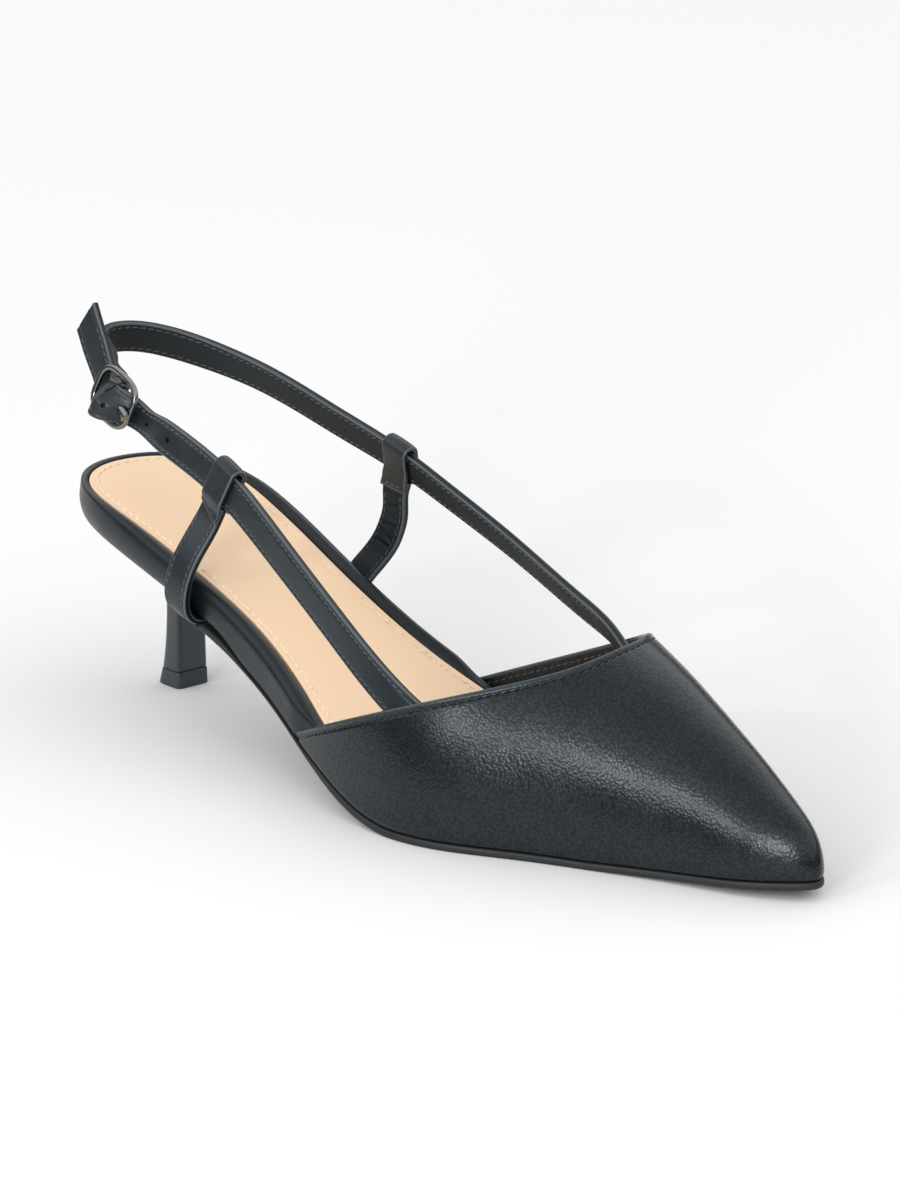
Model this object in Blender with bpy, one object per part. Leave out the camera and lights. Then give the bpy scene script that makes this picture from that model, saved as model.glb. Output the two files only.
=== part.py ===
"""Right shoe of a pointed slingback pair with a kitten heel.

Sizes are in millimetres in the shoe's own frame until a mesh is made: X runs from
the back of the heel seat to the toe, Y from the outer side of the foot (lateral,
negative) to the inner side (medial, positive), Z up from the floor.
"""

import math
from collections import namedtuple

import bmesh
import bpy
import numpy as np

MM = 0.001
GAP = 0.3
LATERAL = "lateral"
MEDIAL = "medial"
UP = np.array([0.0, 0.0, 1.0])

# Driving sizes
SOLE_LENGTH = 261.0
OUTSOLE_THICK = 2.0
OUTSOLE_START = 56.0
SOCK_THICK = 1.0
UPPER_WALL = 1.6
STRAP_WIDTH = 8.5
STRAP_THICK = 2.0
FOLD_THICK = 1.0
TAB_THICK = 0.9
EDGE_CHAMFER = 0.35
LOOP_WIDTH = 9.0
LOOP_THICK = 1.2
TOP_PIECE_HEIGHT = 4.4
OUTSOLE_ROUND = 0.5
CHAMFER_SHARE = 0.6
SHARP_ANGLE = math.radians(35.0)

# Sole: half-widths from the foot's centre line, height of the sock's upper face and
# height of the outsole's underside, which the floor cuts flat under the ball
SoleRow = namedtuple("SoleRow", "x lateral medial sock tread")
SOLE = tuple(
    SoleRow(*row)
    for row in (
        (0.0, -1.6, -1.6, 54.2, 42.4),
        (3.0, -12.6, 11.2, 53.9, 42.3),
        (12.0, -20.8, 19.9, 52.8, 41.4),
        (28.0, -25.4, 24.0, 50.3, 39.0),
        (60.0, -27.7, 21.2, 42.6, 31.9),
        (90.0, -29.3, 18.3, 33.0, 22.4),
        (110.0, -33.1, 20.5, 24.6, 14.5),
        (130.0, -38.2, 26.4, 15.4, 6.7),
        (150.0, -40.7, 31.7, 8.2, 0.9),
        (170.0, -38.1, 37.0, 6.4, -0.4),
        (190.0, -27.8, 34.6, 6.4, -0.5),
        (210.0, -17.9, 28.9, 6.7, 0.1),
        (230.0, -9.4, 23.6, 7.3, 0.9),
        (245.0, -3.7, 19.6, 8.0, 1.8),
        (255.0, 2.3, 15.4, 8.6, 2.6),
        (261.0, 9.0, 9.0, 9.0, 3.1),
    )
)

# Ridge of the last, over the forefoot: its place across the foot and its height
RidgeRow = namedtuple("RidgeRow", "x across height")
RIDGE = tuple(
    RidgeRow(*row)
    for row in (
        (100.0, 0.0, 88.0),
        (150.0, 4.0, 65.5),
        (187.0, 7.5, 49.8),
        (200.0, 8.6, 44.9),
        (215.0, 9.3, 38.4),
        (230.0, 9.2, 31.4),
        (245.0, 9.0, 23.3),
        (255.0, 9.0, 17.5),
        (261.0, 9.0, 5.8),
    )
)
ARCH_POWER = {LATERAL: 2.2, MEDIAL: 2.4}

# Topline: the vamp is cut by a plane that rises towards the toe, and bows off it: the
# place on the line is 0 at the lateral corner, 1 on the ridge, 2 at the medial corner
TOPLINE_X = 107.0
TOPLINE_HEIGHT = 12.1
TOPLINE_SLOPE = 0.435
TOPLINE_SEARCH = (95.0, 225.0)
BowRow = namedtuple("BowRow", "place height")
TOPLINE_BOW = tuple(
    BowRow(*row)
    for row in (
        (0.0, 0.0),
        (0.3, -0.9),
        (0.65, -2.8),
        (1.0, -0.5),
        (1.3, 1.1),
        (1.7, 1.2),
        (2.0, 1.6),
    )
)

# Rand: the wrapped edge as a bead, from the recess under the sock over its top and
# round to the underside; inset from the outline, depth as a share of the footbed's
# thickness, and lift over the sock; its top is narrow and low round the back
RandRow = namedtuple("RandRow", "inset depth lift")
RAND = tuple(
    RandRow(*row)
    for row in (
        (5.0, 0.0, -SOCK_THICK - GAP),
        (4.7, 0.0, -0.2),
        (3.7, 0.0, 0.8),
        (2.4, 0.0, 1.2),
        (1.1, 0.0, 0.6),
        (0.3, 0.13, 0.0),
        (0.0, 0.42, 0.0),
        (0.3, 0.7, 0.0),
        (1.1, 0.9, 0.0),
        (2.4, 1.0, 0.0),
    )
)
TUCK_INSET = 2.1
TUCK_ROUNDING = 0.1
TUCK_FROM = 99.0
TUCK_TO = 112.0
BEAD_AT_BACK = 0.25
BEAD_FULL = 40.0
NARROW_AT_BACK = 0.42
NARROW_END = 50.0

# Heel: sections from the top piece to the seat, each a height over the floor and a
# drop under the sloping seat, with the share of the seat's slope that it follows
HeelRow = namedtuple("HeelRow", "height drop share centre half_length half_width")
HEEL = tuple(
    HeelRow(*row)
    for row in (
        (TOP_PIECE_HEIGHT + GAP, 0.0, 0.0, 29.0, 4.0, 5.0),
        (10.0, 0.0, 0.0, 29.4, 3.5, 4.85),
        (17.0, 0.0, 0.0, 29.65, 3.1, 4.75),
        (24.0, 0.0, 0.0, 29.8, 3.15, 4.75),
        (28.5, 0.0, 0.0, 30.0, 3.9, 5.1),
        (32.0, 7.6, 0.3, 30.4, 5.7, 6.4),
        (35.0, 4.8, 0.7, 30.8, 9.0, 8.8),
        (37.0, 2.8, 0.95, 31.0, 13.4, 12.6),
        (38.0, 1.3, 1.0, 31.2, 18.2, 16.4),
        (40.0, 0.0, 1.0, 31.4, 21.5, 18.4),
    )
)
TOP_PIECE = ((0.0, 28.35, 5.0, 5.2), (TOP_PIECE_HEIGHT, 29.0, 4.2, 5.05))
HEEL_ACROSS = -1.2
BREAST_POWER = 8.0
BACK_POWER = 3.2
HEEL_SIDES = 24

# Buckle: its own axes run along the strap, across it and out of it
BUCKLE_CENTRE = np.array([21.7, -17.2, 78.3])
BUCKLE_RISE = math.radians(15.0)
BUCKLE_TURN = math.radians(8.0)
BUCKLE_LEAN = math.radians(18.0)
FRAME_HALF_LENGTH = 8.3
FRAME_HALF_WIDTH = 6.2
FRAME_POWER = 3.2
FRAME_WIRE = (1.6, 1.4)
BAR_RADIUS = 0.7
BAR_DEPTH = -1.0
PRONG_RADIUS = 0.6
PASS_REACH = 7.4
PASS_LOW = -2.5
PASS_RISE = 6.9
PASS_ROWS = 9
PASS_DRIFT = 0.6
PRONG_HOLE = ((-6.6, -0.9), (-1.0, 1.0), (-4.0, 5.0))
PRONG_SLOT = ((-4.0, 2.8), (-1.2, 1.2), (-2.1, 4.0))
PRONG_HOOK = (-0.3, 1.9)
PRONG_LIE = ((-3.4, 0.75), (-6.0, 1.3))
PRONG_OVERHANG = 1.0

# Strap routes: centre of the strap and how far its upper edge leans in, in degrees
StrapRow = namedtuple("StrapRow", "x y z lean")
LATERAL_ROUTE = tuple(
    StrapRow(*row)
    for row in (
        (167.0, -29.6, 24.0, 22.0),
        (153.2, -31.2, 30.6, 18.0),
        (125.0, -29.3, 44.2, 11.0),
        (94.0, -24.3, 57.6, 13.0),
        (70.0, -20.3, 66.5, 17.0),
        (51.0, -18.6, 71.3, 17.0),
        (41.0, -17.8, 73.6, 18.0),
    )
)
BACK_ROUTE = tuple(
    StrapRow(*row)
    for row in (
        (176.5, 23.2, 37.4, 28.0),
        (167.6, 25.4, 40.9, 28.0),
        (153.6, 27.0, 44.8, 26.0),
        (124.0, 29.9, 52.6, 24.0),
        (97.6, 30.2, 60.3, 21.0),
        (79.5, 30.0, 65.4, 18.0),
        (56.0, 28.8, 70.6, 15.0),
        (30.0, 26.0, 76.8, 14.0),
        (14.0, 21.6, 80.2, 13.0),
        (4.0, 11.0, 84.6, 13.0),
        (0.2, 2.0, 86.2, 14.0),
        (1.4, -5.6, 85.4, 14.0),
    )
)
# Rows in the buckle's own axes: along, across and out, with the lean again
BuckleRow = namedtuple("BuckleRow", "along across out lean")
TAIL_ROUTE = tuple(
    BuckleRow(*row)
    for row in (
        (12.5, 3.0, -2.4, 18.0),
        (17.0, 6.3, -1.5, 20.0),
        (23.0, 11.1, -0.2, 22.0),
    )
)
TAIL_SKEW = 2.2
FOLD_ROUTE = tuple(
    BuckleRow(*row)
    for row in (
        (16.5, 1.6, -7.6, 16.0),
        (11.5, 0.3, -6.2, 19.0),
        (7.0, 0.0, -6.0, 20.0),
        (3.4, 0.0, -4.9, 20.0),
    )
)
FOLD_RETURN = ((2.2, -0.9), (4.6, -3.5), (7.4, -4.5), (11.0, -4.55))
FOLD_ROWS = 7
FOLD_REACH = 28.0
FOLD_THIN = 10.0
FOLD_FULL = 16.0

# Side straps: centre line from the loop down to the tab lasted under the footbed
SideRow = namedtuple("SideRow", "x y z thick")
SIDE_ROUTES = {
    LATERAL: tuple(
        SideRow(*row)
        for row in (
            (66.6, -26.8, 52.0, STRAP_THICK),
            (65.3, -30.0, 45.6, STRAP_THICK),
            (64.6, -31.3, 39.8, STRAP_THICK),
            (64.2, -30.4, 34.8, STRAP_THICK),
            (64.1, -27.8, 32.4, 1.6),
            (64.0, -23.4, 32.05, TAB_THICK),
            (64.0, -17.0, 32.05, TAB_THICK),
        )
    ),
    MEDIAL: tuple(
        SideRow(*row)
        for row in (
            (76.8, 30.4, 51.8, STRAP_THICK),
            (75.2, 30.4, 46.6, STRAP_THICK),
            (73.2, 29.8, 42.2, STRAP_THICK),
            (71.6, 27.3, 38.1, STRAP_THICK),
            (70.7, 23.6, 34.3, STRAP_THICK),
            (70.4, 20.2, 31.0, 1.6),
            (70.4, 16.0, 30.1, TAB_THICK),
            (70.4, 10.0, 30.1, TAB_THICK),
        )
    ),
}
LOOP_STATIONS = {LATERAL: 70.0, MEDIAL: 79.5}
LOOP_LEG = 8.8
LOOP_CLEAR = 0.35
LOOP_SHOULDER_IN = 0.4
SIDE_TOP_CLEAR = 0.5
SIDE_STRAIGHT = 4.2
SIDE_TURN = 1.6

# Mesh fineness
SOLE_STATIONS = 40
ARCH_STEPS = 11
WING_STEPS = 13
TOE_STEPS = 15
STRAP_STEP = 4.0
FOLD_STEP = 0.8
PASS_STEP = 1.2
SIDE_STEP = 3.0
FRAME_SIDES = 40
ROD_SIDES = 10
PRONG_STEP = 1.0
PRONG_HOOK_STEPS = 6
LOOP_LEG_STEPS = 6
LOOP_TURN_STEPS = 9
LOOP_SEARCH_STEP = 1.0

Finish = namedtuple("Finish", "colour roughness metallic")
FINISHES = {
    "black_leather": Finish((0.018, 0.021, 0.023), 0.42, 0.0),
    "tan_sock": Finish((0.78, 0.56, 0.38), 0.5, 0.0),
    "black_sole": Finish((0.015, 0.016, 0.017), 0.6, 0.0),
    "black_heel": Finish((0.02, 0.022, 0.024), 0.35, 0.0),
    "gunmetal": Finish((0.36, 0.36, 0.35), 0.25, 1.0),
}


def natural_cubic(knots, values):
    """Return a function through the rows whose bend fades out at both ends."""
    knots = np.asarray(knots, dtype=float)
    values = np.asarray(values, dtype=float)
    steps = np.diff(knots)
    count = len(knots)
    system = np.eye(count)
    load = np.zeros(values.shape)
    for row in range(1, count - 1):
        before, after = steps[row - 1], steps[row]
        system[row, row - 1 : row + 2] = before, 2.0 * (before + after), after
        rise = (values[row + 1] - values[row]) / after - (values[row] - values[row - 1]) / before
        load[row] = 6.0 * rise
    bend = np.linalg.solve(system, load)

    def curve(at):
        row = int(np.clip(np.searchsorted(knots, at) - 1, 0, count - 2))
        step = steps[row]
        low = (knots[row + 1] - at) / step
        high = (at - knots[row]) / step
        cubic = (low**3 - low) * bend[row] + (high**3 - high) * bend[row + 1]
        return low * values[row] + high * values[row + 1] + cubic * step * step / 6.0

    return curve


def unit(vector):
    """Return the vector at length one."""
    return vector / np.linalg.norm(vector)


def along_sole(x):
    """Turn a length from the heel into a share that is fine at both round ends."""
    return math.acos(1.0 - 2.0 * x / SOLE_LENGTH) / math.pi


def sole_x(share):
    """Turn the share along the sole back into a length from the heel."""
    return SOLE_LENGTH * (1.0 - math.cos(math.pi * share)) / 2.0


SOLE_SHARES = [along_sole(row.x) for row in SOLE]
EDGE = {
    LATERAL: natural_cubic(SOLE_SHARES, [row.lateral for row in SOLE]),
    MEDIAL: natural_cubic(SOLE_SHARES, [row.medial for row in SOLE]),
}
sock_height = natural_cubic([row.x for row in SOLE], [row.sock for row in SOLE])
tread_height = natural_cubic([row.x for row in SOLE], [row.tread for row in SOLE])
RIDGE_SHARES = [along_sole(row.x) for row in RIDGE]
ridge_across = natural_cubic(RIDGE_SHARES, [row.across for row in RIDGE])
ridge_height = natural_cubic(RIDGE_SHARES, [row.height for row in RIDGE])
topline_bow = natural_cubic([row.place for row in TOPLINE_BOW], [row.height for row in TOPLINE_BOW])


def tread(x):
    """Height of the outsole's underside, flat on the floor under the ball."""
    return max(float(tread_height(x)), 0.0)


def seat(x):
    """Height of the line where the footbed and the vamp stand on the outsole."""
    return tread(x) + OUTSOLE_THICK + GAP


def edge_point(side, share, inset):
    """Point of the outline in plan, moved square to the edge by the inset."""
    step = 1e-4
    low, high = max(share - step, 0.0), min(share + step, 1.0)
    run = sole_x(high) - sole_x(low)
    rise = float(EDGE[side](high) - EDGE[side](low))
    inward = np.array([-rise, run]) if side == LATERAL else np.array([rise, -run])
    return np.array([sole_x(share), float(EDGE[side](share))]) + inset * unit(inward)


def smooth_step(at, start, end):
    """Rise from 0 at the start to 1 at the end, level at both."""
    share = min(max((at - start) / (end - start), 0.0), 1.0)
    return share * share * (3.0 - 2.0 * share)


def rand_inset(row, x):
    """Inset of a line of the rand, drawn in where the footbed lies inside the vamp."""
    on_top = row.depth == 0.0
    narrow = NARROW_AT_BACK + (1.0 - NARROW_AT_BACK) * smooth_step(x, 0.0, NARROW_END)
    inset = row.inset * narrow if on_top else row.inset
    inside = smooth_step(x, TUCK_FROM, TUCK_TO)
    return (1.0 - inside) * inset + inside * (TUCK_INSET + TUCK_ROUNDING * inset)


def bead_height(x):
    """Share of the rand's bead: low round the back, none inside the vamp."""
    from_back = BEAD_AT_BACK + (1.0 - BEAD_AT_BACK) * smooth_step(x, 0.0, BEAD_FULL)
    return from_back * (1.0 - smooth_step(x, TUCK_FROM, TUCK_TO))


def finish_material(name):
    """Make or fetch the named finish."""
    material = bpy.data.materials.get(name)
    if material is None:
        finish = FINISHES[name]
        material = bpy.data.materials.new(name)
        material.use_nodes = True
        shader = material.node_tree.nodes["Principled BSDF"]
        shader.inputs["Base Color"].default_value = (*finish.colour, 1.0)
        shader.inputs["Roughness"].default_value = finish.roughness
        shader.inputs["Metallic"].default_value = finish.metallic
    return material


def add_piece(name, points, faces, finish, root):
    """Make a closed piece from points in millimetres and its faces."""
    mesh = bpy.data.meshes.new(name)
    work = bmesh.new()
    corners = [work.verts.new(tuple(np.asarray(point) * MM)) for point in points]
    for face in faces:
        work.faces.new([corners[index] for index in face])
    bmesh.ops.recalc_face_normals(work, faces=work.faces[:])
    work.to_mesh(mesh)
    work.free()
    mesh.shade_smooth()
    mesh.set_sharp_from_angle(angle=SHARP_ANGLE)
    mesh.materials.append(finish_material(finish))
    piece = bpy.data.objects.new(name, mesh)
    bpy.context.scene.collection.objects.link(piece)
    piece.parent = root
    return piece


def carve(piece, cutter):
    """Cut one closed mesh out of another and keep the cutter as a wire guide."""
    cutter.hide_render = True
    cutter.display_type = "WIRE"
    cut = piece.modifiers.new("cut_" + cutter.name, "BOOLEAN")
    cut.operation = "DIFFERENCE"
    cut.object = cutter


def fuse(piece, other):
    """Join another closed mesh to a piece and keep it as a wire guide."""
    other.hide_render = True
    other.display_type = "WIRE"
    joined = piece.modifiers.new("fuse_" + other.name, "BOOLEAN")
    joined.operation = "UNION"
    joined.object = other


def strip_faces(first, second, closed=True):
    """Faces between two rows of point numbers."""
    count = len(first)
    last = count if closed else count - 1
    return [
        (first[i], first[(i + 1) % count], second[(i + 1) % count], second[i]) for i in range(last)
    ]


def slab(name, shares, rings, finish, root):
    """Make a sole-shaped layer from rings that run round its edge, top to bottom."""
    points, loops, sides = [], [], []
    closed_back = shares[0] == 0.0
    for ring in rings:
        lateral = []
        for share in shares:
            lateral.append(len(points))
            points.append(ring(LATERAL, share))
        medial = [lateral[0]] if closed_back else []
        for share in shares[1 if closed_back else 0 : -1]:
            medial.append(len(points))
            points.append(ring(MEDIAL, share))
        medial.append(lateral[-1])
        sides.append((lateral, medial))
        loops.append(lateral + medial[-2 : 0 if closed_back else None : -1])
    faces = []
    for upper, lower in zip(loops, loops[1:]):
        faces += strip_faces(upper, lower)
    for lateral, medial in (sides[0], sides[-1]):
        for i in range(len(shares) - 1):
            corners = (lateral[i], lateral[i + 1], medial[i + 1], medial[i])
            faces.append(tuple(dict.fromkeys(corners)))
    return add_piece(name, points, faces, finish, root)


def sole_ring(inset, height):
    """Ring of a sole layer: an inset from the outline and a height, both from x."""

    def ring(side, share):
        plan = edge_point(side, share, inset(sole_x(share)))
        return np.array([plan[0], plan[1], height(plan[0])])

    return ring


def sole_shares(start, count):
    """Even shares along the sole from a length behind the toe to its tip."""
    return list(np.linspace(along_sole(start), 1.0, count))


def build_outsole(root):
    """Thin sole with a rounded edge, from the heel breast to the toe."""
    rings = [
        sole_ring(lambda x: OUTSOLE_ROUND, lambda x: tread(x) + OUTSOLE_THICK),
        sole_ring(lambda x: 0.0, lambda x: tread(x) + OUTSOLE_THICK - OUTSOLE_ROUND),
        sole_ring(lambda x: 0.0, lambda x: tread(x) + OUTSOLE_ROUND),
        sole_ring(lambda x: OUTSOLE_ROUND, tread),
    ]
    return slab("outsole", sole_shares(OUTSOLE_START, SOLE_STATIONS), rings, "black_sole", root)


def build_footbed(root):
    """Board wrapped in leather, with a round rand and a recess for the sock."""

    def height(row):
        def at(x):
            level = float(sock_height(x)) - row.depth * (float(sock_height(x)) - seat(x))
            return level + (row.lift * bead_height(x) if row.lift > 0.0 else row.lift)

        return at

    rings = [sole_ring(lambda x, row=row: rand_inset(row, x), height(row)) for row in RAND]
    return slab("footbed", sole_shares(0.0, SOLE_STATIONS), rings, "black_leather", root)


def build_insole(root):
    """Sock sheet lying in the footbed's recess."""

    def edge(x):
        return rand_inset(RAND[0], x) + GAP

    rings = [
        sole_ring(edge, lambda x: float(sock_height(x))),
        sole_ring(edge, lambda x: float(sock_height(x)) - SOCK_THICK),
    ]
    return slab("insole", sole_shares(0.0, SOLE_STATIONS), rings, "tan_sock", root)


def last_point(side, share, lift):
    """Point of the vamp's outer face: lift 0 at the sole, 1 on the ridge."""
    x = sole_x(share)
    foot = seat(x)
    across = float(ridge_across(share))
    reach = float(EDGE[side](share)) - across
    angle = lift * math.pi / 2.0
    power = 2.0 / ARCH_POWER[side]
    y = across + reach * max(math.cos(angle), 0.0) ** power
    z = foot + (float(ridge_height(share)) - foot) * max(math.sin(angle), 0.0) ** power
    return np.array([x, y, z])


def last_normal(side, share, lift):
    """Outward normal of the vamp's outer face."""
    step = 1e-3
    ahead = last_point(side, min(share + step, 1.0 - 1e-6), lift) - last_point(side, share - step, lift)
    low, high = max(lift - step, 0.0), min(lift + step, 1.0)
    over = last_point(side, share, high) - last_point(side, share, low)
    normal = np.cross(ahead, over) if side == LATERAL else np.cross(over, ahead)
    return unit(normal)


def topline_share(side, lift):
    """Where along the sole the topline cuts the arch at this lift."""
    low, high = (along_sole(x) for x in TOPLINE_SEARCH)
    level = TOPLINE_HEIGHT + float(topline_bow(lift if side == LATERAL else 2.0 - lift))
    for _ in range(50):
        middle = (low + high) / 2.0
        point = last_point(side, middle, lift)
        above = level + TOPLINE_SLOPE * (point[0] - TOPLINE_X) > point[2]
        low, high = (low, middle) if above else (middle, high)
    return (low + high) / 2.0


def build_upper(root):
    """Vamp: one wall over the last, cut on the topline, open underneath."""
    throat = topline_share(LATERAL, 1.0)
    toe_shares = list(np.linspace(throat, 1.0, TOE_STEPS + 1))[1:-1]
    points, pairs = [], {}

    def pair(key, side, share, lift):
        if key not in pairs:
            outer = last_point(side, share, lift)
            inner = outer - UPPER_WALL * last_normal(side, share, lift)
            pairs[key] = (len(points), len(points) + 1)
            points.extend((outer, inner))
        return pairs[key]

    tip = np.array([sole_x(1.0), float(EDGE[LATERAL](1.0)), seat(SOLE_LENGTH)])
    pairs["tip"] = (0, 1)
    points.extend((tip, tip - np.array([UPPER_WALL, 0.0, 0.0])))
    faces = []
    for side in (LATERAL, MEDIAL):
        lifts = [step / WING_STEPS for step in range(WING_STEPS)]
        columns = [(topline_share(side, lift), lift) for lift in lifts]
        columns += [(throat, 1.0)] + [(share, 1.0) for share in toe_shares]
        grid = []
        for number, (share, top) in enumerate(columns):
            column = []
            for step in range(ARCH_STEPS + 1):
                lift = top * step / ARCH_STEPS
                on_ridge = step == ARCH_STEPS and number >= WING_STEPS
                key = ("ridge", number) if on_ridge else (side, number, step if number else 0)
                column.append(pair(key, side, share, lift))
            grid.append(column)
        grid.append([pairs["tip"]] * (ARCH_STEPS + 1))
        for here, there in zip(grid, grid[1:]):
            for layer in (0, 1):
                for step in range(ARCH_STEPS):
                    corners = (here[step], there[step], there[step + 1], here[step + 1])
                    faces.append(tuple(dict.fromkeys(corner[layer] for corner in corners)))
            faces.append((here[0][0], there[0][0], there[0][1], here[0][1]))
        for here, there in zip(grid[:WING_STEPS], grid[1 : WING_STEPS + 1]):
            faces.append((here[-1][0], there[-1][0], there[-1][1], here[-1][1]))
    return add_piece("upper", points, faces, "black_leather", root)


def heel_section(centre, half_length, half_width):
    """Section of the heel in plan: flat breast in front, round behind."""
    ring = []
    for side in range(HEEL_SIDES):
        angle = 2.0 * math.pi * (side + 0.5) / HEEL_SIDES
        run, rise = math.cos(angle), math.sin(angle)
        power = 2.0 / (BREAST_POWER if run > 0.0 else BACK_POWER)
        x = centre + half_length * math.copysign(abs(run) ** power, run)
        y = HEEL_ACROSS + half_width * math.copysign(abs(rise) ** power, rise)
        ring.append((x, y))
    return ring


def stack(name, rings, finish, root):
    """Make a closed piece from rings of points, one above the other."""
    points, rows, faces = [], [], []
    for ring in rings:
        rows.append(list(range(len(points), len(points) + len(ring))))
        points.extend(ring)
    for lower, upper in zip(rows, rows[1:]):
        faces += strip_faces(lower, upper)
    faces += [tuple(rows[0]), tuple(rows[-1])]
    return add_piece(name, points, faces, finish, root)


def build_heel(root):
    """Slender stem that flares to the underside of the footbed."""
    rings = []
    for row in HEEL:
        ring = []
        for x, y in heel_section(row.centre, row.half_length, row.half_width):
            under_seat = seat(x) - GAP - row.drop
            ring.append(np.array([x, y, (1.0 - row.share) * row.height + row.share * under_seat]))
        rings.append(ring)
    return stack("heel", rings, "black_heel", root)


def build_top_piece(root):
    """Wearing block under the heel, flat on the floor."""
    rings = []
    for height, centre, half_length, half_width in TOP_PIECE:
        section = heel_section(centre, half_length, half_width)
        rings.append([np.array([x, y, height]) for x, y in section])
    return stack("heel_top_piece", rings, "black_sole", root)


def band_section(width, thick):
    """Section of a flat band with chamfered edges."""
    half, deep = width / 2.0, thick / 2.0
    cut = min(EDGE_CHAMFER, deep * CHAMFER_SHARE)
    quarter = ((half, deep - cut), (half - cut, deep))
    ring = [*quarter]
    ring += [(-u, v) for u, v in reversed(quarter)]
    ring += [(-u, -v) for u, v in quarter]
    ring += [(u, -v) for u, v in reversed(quarter)]
    return ring


def round_section(radius):
    """Section of a round rod."""
    turns = [2.0 * math.pi * (side + 0.5) / ROD_SIDES for side in range(ROD_SIDES)]
    return [(radius * math.cos(turn), radius * math.sin(turn)) for turn in turns]


def sweep(name, centres, widths, sections, finish, root, closed=False, skew=0.0):
    """Carry sections along a line; widths are the directions of their first axis."""
    centres = np.asarray(centres)
    ahead = np.roll(centres, -1, axis=0) - np.roll(centres, 1, axis=0)
    if not closed:
        ahead[0] = centres[1] - centres[0]
        ahead[-1] = centres[-1] - centres[-2]
    rings = []
    for number, (centre, run, width) in enumerate(zip(centres, ahead, widths)):
        run = unit(run)
        across = unit(width - run * np.dot(width, run))
        out = np.cross(run, across)
        half = max(u for u, _ in sections[number])
        slant = skew if number == len(centres) - 1 else 0.0
        rings.append([centre + u * across + v * out + run * slant * u / half for u, v in sections[number]])
    if not closed:
        return stack(name, rings, finish, root)
    points = [point for ring in rings for point in ring]
    sides = len(rings[0])
    rows = [list(range(start, start + sides)) for start in range(0, len(points), sides)]
    faces = []
    for number, row in enumerate(rows):
        faces += strip_faces(row, rows[(number + 1) % len(rows)])
    return add_piece(name, points, faces, finish, root)


def smooth_route(rows, step, fine_from=None, fine_step=None):
    """Points along a smooth line through the rows, about a step apart.

    From the row numbered fine_from on, they lie about fine_step apart.
    """
    rows = np.asarray(rows, dtype=float)
    lengths = np.linalg.norm(np.diff(rows[:, :3], axis=0), axis=1)
    knots = np.concatenate([[0.0], np.cumsum(lengths)])
    curve = natural_cubic(knots, rows)
    stretches = [(0.0, knots[-1], step)]
    if fine_from is not None:
        stretches = [(0.0, knots[fine_from], step), (knots[fine_from], knots[-1], fine_step)]
    stations = [0.0]
    for start, end, stride in stretches:
        count = max(int(round((end - start) / stride)), 2)
        stations += list(np.linspace(start, end, count + 1))[1:]
    return np.array([curve(at) for at in stations])


def strap_widths(route, leans, inner_side):
    """Direction across a strap, leaning in at the top by the given degrees."""
    runs = np.gradient(route, axis=0)
    widths = []
    for run, lean in zip(runs, np.radians(leans)):
        run = unit(run)
        inward = unit(np.cross(run, UP)) * inner_side
        upright = unit(UP - run * run[2])
        widths.append(math.cos(lean) * upright + math.sin(lean) * inward)
    return np.array(widths)


def buckle_axes():
    """Directions along the strap, across it and out of it at the buckle."""
    rise, turn, lean = BUCKLE_RISE, BUCKLE_TURN, BUCKLE_LEAN
    flat = math.cos(rise)
    along = np.array([-flat * math.cos(turn), flat * math.sin(turn), math.sin(rise)])
    outward = np.array([-math.sin(turn), -math.cos(turn), 0.0])
    upright = np.cross(along, outward)
    across = math.cos(lean) * upright - math.sin(lean) * outward
    out = math.cos(lean) * outward + math.sin(lean) * upright
    return along, across, out


def at_buckle(along, across, out):
    """Point given in the buckle's own axes."""
    axes = buckle_axes()
    return BUCKLE_CENTRE + along * axes[0] + across * axes[1] + out * axes[2]


def pass_height(along):
    """How far the strap bulges out of the buckle as it goes over the bar."""
    return PASS_LOW + PASS_RISE * (0.5 + 0.5 * math.cos(math.pi * along / PASS_REACH))


def lateral_route():
    """Rows of the lateral strap: vamp, loop, buckle and free tail."""
    lean = math.degrees(BUCKLE_LEAN)
    rows = [tuple(row) for row in LATERAL_ROUTE]
    for along in np.linspace(-PASS_REACH, PASS_REACH, PASS_ROWS):
        rows.append((*at_buckle(along, 0.0, pass_height(along)), lean))
    rows.append((*at_buckle(FRAME_HALF_LENGTH, PASS_DRIFT, PASS_LOW), lean))
    for row in TAIL_ROUTE:
        rows.append((*at_buckle(row.along, row.across, row.out), row.lean))
    return rows


def fold_route():
    """Rows of the back strap's end: under the bar, round it and back again."""
    lean = math.degrees(BUCKLE_LEAN)
    radius = BAR_RADIUS + GAP + FOLD_THICK / 2.0
    rows = []
    for turn in np.linspace(-0.5 * math.pi, -1.5 * math.pi, FOLD_ROWS):
        rows.append((*at_buckle(radius * math.cos(turn), 0.0, BAR_DEPTH + radius * math.sin(turn)), lean))
    rows += [(*at_buckle(along, 0.0, out), lean) for along, out in FOLD_RETURN]
    return rows


def build_strap_lateral(root):
    """Strap from the lateral vamp through the loop and the buckle to its tail."""
    route = smooth_route(lateral_route(), STRAP_STEP, len(LATERAL_ROUTE), PASS_STEP)
    widths = strap_widths(route[:, :3], route[:, 3], 1.0)
    along_axis, across_axis, _ = buckle_axes()
    for number, point in enumerate(route[:, :3]):
        distance = abs(np.dot(point - BUCKLE_CENTRE, along_axis))
        square = 1.0 - smooth_step(distance, PASS_REACH, 2.0 * PASS_REACH)
        widths[number] = (1.0 - square) * widths[number] + square * across_axis
    sections = [band_section(STRAP_WIDTH, STRAP_THICK)] * len(route)
    strap = sweep("strap_lateral", route[:, :3], widths, sections, "black_leather", root, skew=TAIL_SKEW)
    carve(strap, buckle_block("prong_hole", PRONG_HOLE, root))
    return strap


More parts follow.
